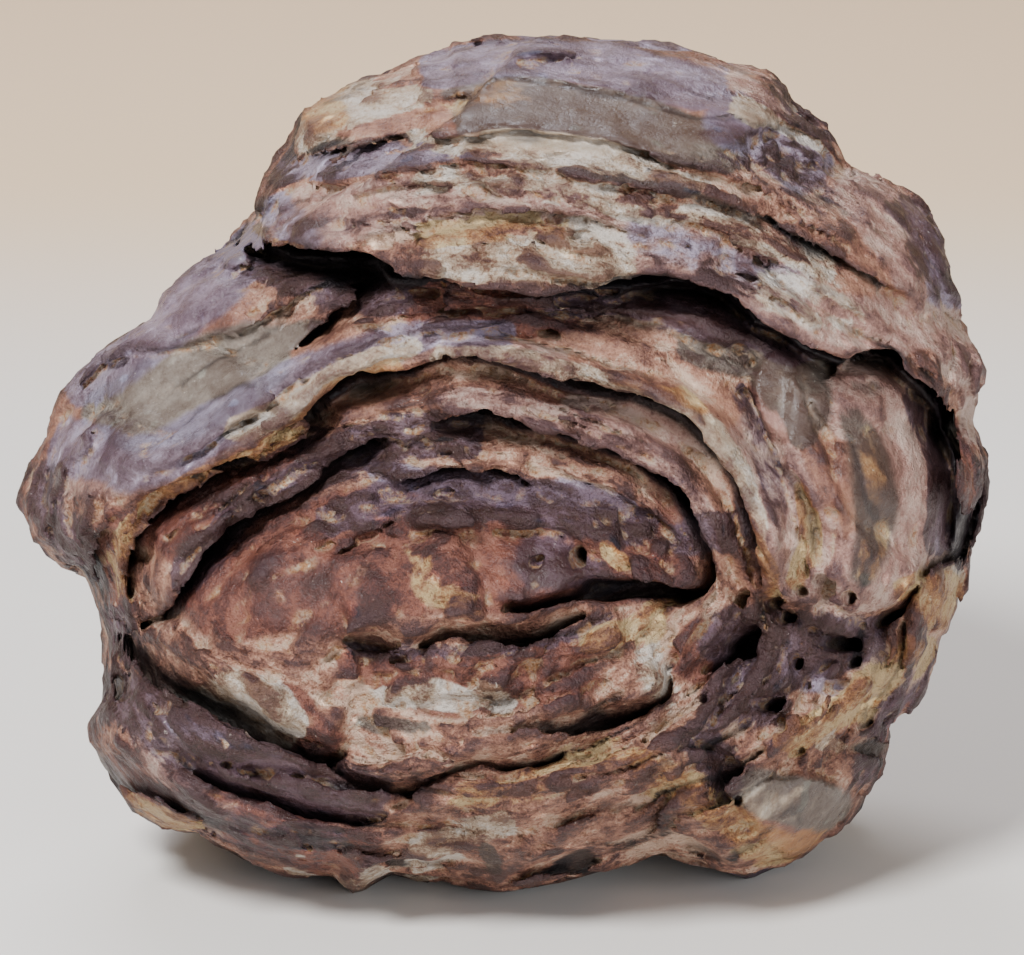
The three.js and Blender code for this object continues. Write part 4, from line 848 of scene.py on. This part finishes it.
def relax(points, faces, rounds=1, share=0.4):
    """Takes out the grid's own steps, with a push back so that nothing shrinks"""
    start, end = both_ways(face_edges(faces))
    counts = np.bincount(start, minlength=len(points))[:, None]
    for amount in [share, -0.9 * share] * rounds:
        sums = np.stack([np.bincount(start, points[end, axis], len(points)) for axis in range(3)], 1)
        points = points + amount * (sums / np.maximum(counts, 1) - points)
    return points


def vertex_normals(points, faces):
    """Outward directions at a mesh's vertices, whose faces wind clockwise as seen from outside"""
    total = np.zeros_like(points)
    for face in faces:
        if len(face):
            across, along = points[face[:, 2]] - points[face[:, 0]], points[face[:, -1]] - points[face[:, 1]]
            if face.shape[1] == 3:
                across, along = points[face[:, 1]] - points[face[:, 0]], points[face[:, 2]] - points[face[:, 0]]
            normal = -np.cross(across, along)
            for corner in face.T:
                total += np.stack([np.bincount(corner, normal[:, axis], len(points)) for axis in range(3)], 1)
    return total / np.maximum(np.linalg.norm(total, axis=1), 1e-9)[:, None]


def make_stone():
    grid, low = field_grid()
    points, triangles, quads = surface_mesh(grid, low)
    points, (triangles, quads) = largest_part(points, (triangles, quads))
    points = relax(points, (triangles, quads))
    outward = vertex_normals(points, (triangles, quads))
    points = points + outward * facet_height(points, ("small",))[:, None]
    points[:, 2] = np.maximum(points[:, 2], 0)
    mesh = bpy.data.meshes.new("stone")
    faces = np.vstack([triangles, quads[:, [0, 1, 2]], quads[:, [0, 2, 3]]])[:, ::-1]
    mesh.from_pydata((points * MM).tolist(), [], faces.tolist())
    stone_object = bpy.data.objects.new("stone", mesh)
    bpy.context.scene.collection.objects.link(stone_object)
    front = survey(points)["front"]
    back = stone_object.vertex_groups.new(name="back")
    back.add(np.flatnonzero(front < 0.5).tolist(), 1.0, "REPLACE")
    back_faces = int((front[faces].max(1) < 0.5).sum())
    thin_out(stone_object, (len(faces) - back_faces + BACK_TRIANGLES) / len(faces), "back")
    thin_out(stone_object, TRIANGLES / len(stone_object.data.polygons))
    print("triangles", len(faces), "at the back", back_faces, "kept", len(stone_object.data.loop_triangles))
    stone_object.vertex_groups.clear()
    return stone_object


def thin_out(piece, ratio, group=""):
    """Joins faces until the ratio of them is left, those of one vertex group only where it is named"""
    decimate = piece.modifiers.new("fewer faces", "DECIMATE")
    decimate.ratio = min(1, ratio)
    decimate.vertex_group = group
    graph = bpy.context.evaluated_depsgraph_get()
    lighter = bpy.data.meshes.new_from_object(piece.evaluated_get(graph))
    piece.modifiers.clear()
    piece.data = lighter


def vertex_facts(mesh):
    """What the material needs to know at each vertex, kept as the mesh's attributes"""
    count = len(mesh.vertices)
    flat = np.empty(count * 3, np.float32)
    mesh.vertices.foreach_get("co", flat)
    points = flat.reshape(-1, 3).astype(float) / MM
    mesh.vertices.foreach_get("normal", flat)
    normals = flat.reshape(-1, 3).astype(float)
    edges = np.empty(len(mesh.edges) * 2, np.int32)
    mesh.edges.foreach_get("vertices", edges)
    start, end = both_ways(edges.reshape(-1, 2))
    neighbours = np.maximum(np.bincount(start, minlength=count), 1)

    def spread(values):
        return np.bincount(start, values[end], count) / neighbours

    around = np.stack([spread(points[:, axis]) for axis in range(3)], 1)
    crease = ((around - points) * normals).sum(1)
    for _ in range(2):
        crease = 0.5 * crease + 0.5 * spread(crease)
    for _ in range(RECESS_ROUNDS):
        around = np.stack([spread(around[:, axis]) for axis in range(3)], 1)
    recess = spread(((around - points) * normals).sum(1))
    place = survey(points)
    front = place["front"]
    across, behind, up = (points - [MIDDLE[0], MIDDLE[1], REST_HEIGHT]).T
    facts = {"crease": crease, "recess": np.clip(recess, -1.5, 1.5)}
    layer = layer_at(place, points)
    opened = smooth(sample(NEAR_OPENING, place["x"], place["y"]), 0.3, 2)
    # Depth inside the openings and layer cracks, which the material turns into painted shade
    facts["hollow"] = (np.clip(place["below"] - 0.6, 0, 20) * opened + 3 * cracks(layer, points)) * front
    facts["layer"] = layer
    facts["peel"] = peels(points, layer)[1]
    facts["smoothness"] = sample(SMOOTHNESS, place["x"], place["y"]) * front
    for number, (mineral, picture) in enumerate(STAIN_AND_LIGHT_MAPS.items()):
        drawn = sample(picture, place["x"], place["y"])
        size = 18 + 4 * number
        wild = noise(across / size + 17 * number, behind / size, up / size)
        facts[mineral] = drawn * front + 0.8 * smooth(wild, 0.56, 0.84) * (1 - front)
    for name, values in facts.items():
        attribute = mesh.attributes.new(name, "FLOAT", "POINT")
        attribute.data.foreach_set("value", values.astype(np.float32))


# Colours as seen on a screen, from 0 to 255
COLOURS = {
    "umber": (72, 47, 41), "brown": (142, 96, 79), "tan": (194, 143, 117), "peach": (232, 198, 173),
    "maroon": (36, 20, 24), "brick": (80, 40, 38), "coral": (140, 80, 64),
    "mauve": (112, 82, 80), "salmon": (180, 138, 125), "pale pink": (224, 196, 182),
    "sand": (140, 106, 82), "cream": (204, 184, 156), "white": (240, 233, 220),
    "ochre": (122, 74, 40), "gold": (184, 130, 76), "yellow": (222, 194, 138),
    "black": (18, 14, 18), "plum": (46, 37, 50), "slate": (98, 84, 102),
    "blue grey": (66, 63, 84), "lavender": (110, 107, 130), "lilac": (164, 160, 190),
    "dark olive": (42, 40, 34), "olive": (68, 64, 57), "grey": (112, 109, 100), "pale grey": (162, 159, 148),
}


def linear(name):
    """A named colour in the renderer's linear values"""
    parts = [value / 255 for value in COLOURS[name]]
    return tuple(v / 12.92 if v <= 0.04045 else ((v + 0.055) / 1.055) ** 2.4 for v in parts) + (1,)


class Nodes:
    """Short ways to add and join shader nodes"""

    def __init__(self, tree):
        self.tree = tree
        self.place = self.add("ShaderNodeTexCoord", {}, "Object")

    def add(self, kind, inputs, output=0, **settings):
        node = self.tree.nodes.new(kind)
        for name, value in settings.items():
            setattr(node, name, value)
        for key, value in inputs.items():
            if isinstance(value, bpy.types.NodeSocket):
                self.tree.links.new(value, node.inputs[key])
            else:
                node.inputs[key].default_value = value
        return node.outputs[output]

    def attribute(self, name):
        return self.add("ShaderNodeAttribute", {}, "Fac", attribute_name=name)

    def noise(self, size, detail=3, rough=0.55, offset=0):
        """Noise whose blobs are size mm across"""
        moved = self.add("ShaderNodeVectorMath", {0: self.place, 1: (offset, offset, offset)})
        inputs = {"Vector": moved, "Scale": 1 / (size * MM), "Detail": detail, "Roughness": rough}
        return self.add("ShaderNodeTexNoise", inputs, "Fac")

    def banded(self, layer, pitch, size, detail=2, offset=0, **settings):
        """Noise that changes pitch times a layer across the layers, and over size mm along them"""
        moved = self.add("ShaderNodeVectorMath", {0: self.place, 3: 1 / (size * MM)}, operation="SCALE")
        across = self.math("MULTIPLY_ADD", layer, pitch, offset)
        inputs = {"Vector": moved, "W": across, "Scale": 1.0, "Detail": detail, "Roughness": 0.6}
        return self.add("ShaderNodeTexNoise", inputs, "Fac", noise_dimensions="4D", **settings)

    def math(self, operation, a, b=0.0, c=0.0):
        return self.add("ShaderNodeMath", {0: a, 1: b, 2: c}, operation=operation)

    def remap(self, value, low, high, to_low=0.0, to_high=1.0):
        inputs = {"Value": value, "From Min": low, "From Max": high, "To Min": to_low, "To Max": to_high}
        return self.add("ShaderNodeMapRange", inputs, interpolation_type="SMOOTHSTEP")

    def near(self, value, middle, reach):
        """1 where the value is the middle one, 0 from reach away"""
        off = self.math("ABSOLUTE", self.math("SUBTRACT", value, middle))
        return self.remap(off, reach, 0.0)

    def mix(self, share, a, b):
        """Colours a and b, each a name or a socket"""
        a = linear(a) if isinstance(a, str) else a
        b = linear(b) if isinstance(b, str) else b
        return self.add("ShaderNodeMix", {0: share, 6: a, 7: b}, 2, data_type="RGBA")

    def ramp(self, value, stops):
        """stops is a list of (place, colour name)"""
        node = self.tree.nodes.new("ShaderNodeValToRGB")
        self.tree.links.new(value, node.inputs[0])
        ramp = node.color_ramp
        while len(ramp.elements) < len(stops):
            ramp.elements.new(0.5)
        for element, (place, name) in zip(ramp.elements, stops):
            element.position = place
            element.color = linear(name)
        return node.outputs[0]


# Each mineral's dark, middle and light colour, how far its edge is broken towards the lighter (positive) or
# the darker streaks (negative), and the most that it covers
MINERALS = {
    "red": ("maroon", "brick", "coral", 0.7, 0.92),
    "pink": ("mauve", "salmon", "pale pink", 0.9, 0.85),
    "olive": ("dark olive", "olive", "grey", -0.35, 0.95),
    "grey": ("olive", "grey", "pale grey", -0.35, 0.95),
    "lavender": ("blue grey", "lavender", "lilac", 0.6, 0.8),
    "plum": ("black", "plum", "slate", -1.1, 0.92),
    "cream": ("sand", "cream", "white", 1.4, 0.85),
    "ochre": ("ochre", "gold", "yellow", 1.3, 0.85),
}


def flint_material():
    material = bpy.data.materials.new("weathered flint")
    material.use_nodes = True
    nodes = Nodes(material.node_tree)
    layer, hollow, calm = nodes.attribute("layer"), nodes.attribute("hollow"), nodes.attribute("smoothness")
    crease, recess = nodes.attribute("crease"), nodes.attribute("recess")
    peel = nodes.attribute("peel")
    blotch = nodes.noise(7, 5, 0.65, 1)
    mottle = nodes.noise(2.2, 5, 0.7, 2)
    fine = nodes.noise(0.6, 3, 0.65, 3)
    grain = nodes.noise(0.28, 2, 0.6, 4)
    bands = nodes.banded(layer, 0.4, 22, 3)
    streaks = nodes.banded(layer, 0.65, 6, 4, 9)
    ridges = nodes.banded(layer, 0.6, 3.5, 5, 4, noise_type="RIDGED_MULTIFRACTAL")
    rough = nodes.math("SUBTRACT", 1.0, calm)

    # How light the stone is at each place: peeled layers, streaks along them, blotches and mottling, with painted shade
    # in the recesses and painted light on the bulges
    tone = nodes.math("MULTIPLY", nodes.math("SUBTRACT", peel, 0.5), 0.5)
    for part, weight in ((mottle, 0.55), (blotch, 0.4), (streaks, 1.0), (bands, 0.6), (fine, 0.45),
                         (grain, 0.35)):
        tone = nodes.math("MULTIPLY_ADD", nodes.math("SUBTRACT", part, 0.5), weight, tone)
    # Darker in the recesses and lighter on the bulges: painted shade and painted light
    tone = nodes.math("MULTIPLY_ADD", recess, -0.35, tone)
    tone = nodes.math("MULTIPLY", tone, nodes.math("MULTIPLY_ADD", calm, -1.0, 1.5))
    tone = nodes.math("ADD", tone, 0.5)
    colour = nodes.ramp(tone, [(0.22, "umber"), (0.44, "brown"), (0.66, "tan"), (0.88, "peach")])

    # Minerals, their edges broken along the layers and by the peeled places
    torn = nodes.math("MULTIPLY", nodes.math("SUBTRACT", peel, 0.5), 0.6)
    for part, weight in ((mottle, 0.5), (blotch, 0.5), (streaks, 1.1), (bands, 0.9)):
        torn = nodes.math("MULTIPLY_ADD", nodes.math("SUBTRACT", part, 0.5), weight, torn)
    torn = nodes.math("MULTIPLY", torn, nodes.math("MULTIPLY_ADD", calm, -0.6, 1.0))
    for mineral, (dark, medium, light, broken, most) in MINERALS.items():
        drawn = nodes.attribute(mineral)
        looser = nodes.remap(drawn, 0.0, 0.4, 0.45 * broken, broken)
        weight = nodes.math("MULTIPLY_ADD", torn, looser, drawn)
        share = nodes.remap(weight, 0.28, 0.55, 0.0, most)
        own = nodes.ramp(tone, [(0.25, dark), (0.5, medium), (0.78, light)])
        colour = nodes.mix(share, colour, own)

    # Golden worn edges that are partly a painted highlight, plum in the creases and recesses that is partly the stone's
    # dark coating and partly painted shade, dark pits and white specks
    # Gold and cream on the convex edges and bulges: partly real wear, partly a painted highlight
    worn = nodes.math("MAXIMUM", nodes.remap(crease, -0.02, -0.13), nodes.remap(recess, -0.3, -1.0))
    uneven = nodes.remap(calm, 0.6, 1.0, 1.0, 0.2)
    worn = nodes.math("MULTIPLY", nodes.math("MULTIPLY", worn, uneven), nodes.remap(mottle, 0.42, 0.56))
    colour = nodes.mix(nodes.math("MULTIPLY", worn, 0.85), colour, nodes.ramp(fine, [(0.4, "gold"), (0.6, "cream")]))
    # Plum in the creases and recesses: partly the stone's dark coating, partly painted shade
    crevice_patina_and_shade = nodes.math("MAXIMUM", nodes.remap(crease, 0.02, 0.2), nodes.remap(recess, 0.15, 0.8))
    crevice_patina_and_shade = nodes.math("MULTIPLY", nodes.math("MULTIPLY", crevice_patina_and_shade, uneven), nodes.remap(blotch, 0.66, 0.44))
    colour = nodes.mix(nodes.math("MULTIPLY", crevice_patina_and_shade, 0.6), colour, "plum")
    pits = nodes.math("MULTIPLY", nodes.remap(fine, 0.41, 0.33), rough)
    colour = nodes.mix(nodes.math("MULTIPLY", pits, 0.5), colour, "umber")
    specks = nodes.math("MULTIPLY", nodes.remap(fine, 0.66, 0.72), nodes.remap(blotch, 0.52, 0.62))
    colour = nodes.mix(nodes.math("MULTIPLY", specks, 0.6), colour, "white")
    colour = nodes.mix(nodes.math("MULTIPLY", nodes.remap(ridges, 0.42, 0.2), 0.5), colour, "umber")
    # Black inside the openings and cracks: painted shade
    colour = nodes.mix(nodes.remap(hollow, 2.0, 8.0, 0.0, 0.9), colour, "black")
    shader = material.node_tree.nodes["Principled BSDF"]
    links = material.node_tree.links
    links.new(colour, shader.inputs["Base Color"])

    gloss = nodes.remap(mottle, 0.35, 0.65, 0.36, 0.66)
    links.new(nodes.math("MULTIPLY_ADD", calm, -0.14, gloss), shader.inputs["Roughness"])
    shader.inputs["Specular IOR Level"].default_value = 0.28

    height = nodes.math("MULTIPLY_ADD", mottle, 1.2, nodes.math("MULTIPLY", streaks, 0.8))
    height = nodes.math("MULTIPLY_ADD", ridges, 0.8, height)
    height = nodes.math("MULTIPLY_ADD", fine, 0.45, height)
    height = nodes.math("MULTIPLY_ADD", grain, 0.15, height)
    height = nodes.math("MULTIPLY", height, nodes.math("MULTIPLY_ADD", calm, -0.85, 1.0))
    bump = nodes.add("ShaderNodeBump", {"Height": height, "Distance": MM, "Strength": 1.0})
    links.new(bump, shader.inputs["Normal"])
    return material


nodule = make_stone()
nodule.name = "nodule_stone"
vertex_facts(nodule.data)
nodule.data.polygons.foreach_set("use_smooth", [True] * len(nodule.data.polygons))
nodule.data.materials.clear()
nodule.data.materials.append(flint_material())
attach(nodule, "root")
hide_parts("nodule")

# The stage
target = Vector((MIDDLE[0], MIDDLE[1], REST_HEIGHT)) * MM


def make_floor():
    """A plain pale floor that curves up behind the stone into a wall"""
    profile = [(-3.0, 0.0), (0.9, 0.0)]
    bend = 0.7
    profile += [(0.9 + bend * math.sin(a), bend * (1 - math.cos(a))) for a in np.linspace(0.1, math.pi / 2, 16)]
    profile.append((0.9 + bend, 4.0))
    vertices = [(x, y, z) for y, z in profile for x in (-4, 4)]
    faces = [(2 * i, 2 * i + 1, 2 * i + 3, 2 * i + 2) for i in range(len(profile) - 1)]
    mesh = bpy.data.meshes.new("floor")
    mesh.from_pydata(vertices, [], faces)
    mesh.polygons.foreach_set("use_smooth", [True] * len(mesh.polygons))
    floor = bpy.data.objects.new("floor", mesh)
    bpy.context.scene.collection.objects.link(floor)
    mesh.materials.append(paper())


def paper():
    """Pale grey paper that turns cream behind the stone"""
    material = bpy.data.materials.new("pale paper")
    material.use_nodes = True
    nodes = Nodes(material.node_tree)
    shader = material.node_tree.nodes["Principled BSDF"]
    behind = nodes.add("ShaderNodeSeparateXYZ", {0: nodes.place}, "Y")
    share = nodes.remap(behind, 0.2, 0.45)
    colour = nodes.add("ShaderNodeMix", {0: share, 6: (0.79, 0.75, 0.7, 1), 7: (0.84, 0.62, 0.4, 1)}, 2,
                       data_type="RGBA")
    material.node_tree.links.new(colour, shader.inputs["Base Color"])
    shader.inputs["Roughness"].default_value = 0.9
    return material


def make_camera():
    camera = bpy.data.objects.new("camera", bpy.data.cameras.new("camera"))
    bpy.context.scene.collection.objects.link(camera)
    camera.location = target + VIEW_DISTANCE * MM * Vector((0, -COS, SIN))
    camera.rotation_euler = (math.pi / 2 - VIEW_ELEVATION, 0, 0)
    camera.data.sensor_width = 36
    camera.data.lens = 36 * VIEW_DISTANCE / (PICTURE_SIZE[0] * MM_PER_PIXEL)
    bpy.context.scene.camera = camera


def area_light(name, place, power, size, colour=(1, 1, 1)):
    light = bpy.data.objects.new(name, bpy.data.lights.new(name, "AREA"))
    bpy.context.scene.collection.objects.link(light)
    light.data.energy = power
    light.data.shape = "DISK"
    light.data.size = size
    light.data.color = colour
    light.location = place
    light.rotation_euler = (target - Vector(place)).to_track_quat("-Z", "Y").to_euler()


def make_light():
    area_light("key", (-0.35, -0.75, 0.85), 23.5, 0.3, (0.96, 0.98, 1))
    area_light("fill", (0.6, -0.95, 0.25), 8, 0.7, (0.9, 0.95, 1))
    area_light("sky", (-0.2, 0.6, 1.0), 9, 0.6, (0.86, 0.9, 1))
    world = bpy.data.worlds.new("room")
    world.use_nodes = True
    world.node_tree.nodes["Background"].inputs["Color"].default_value = (0.95, 0.95, 1, 1)
    world.node_tree.nodes["Background"].inputs["Strength"].default_value = 0.35
    bpy.context.scene.world = world


make_floor()
make_camera()
make_light()
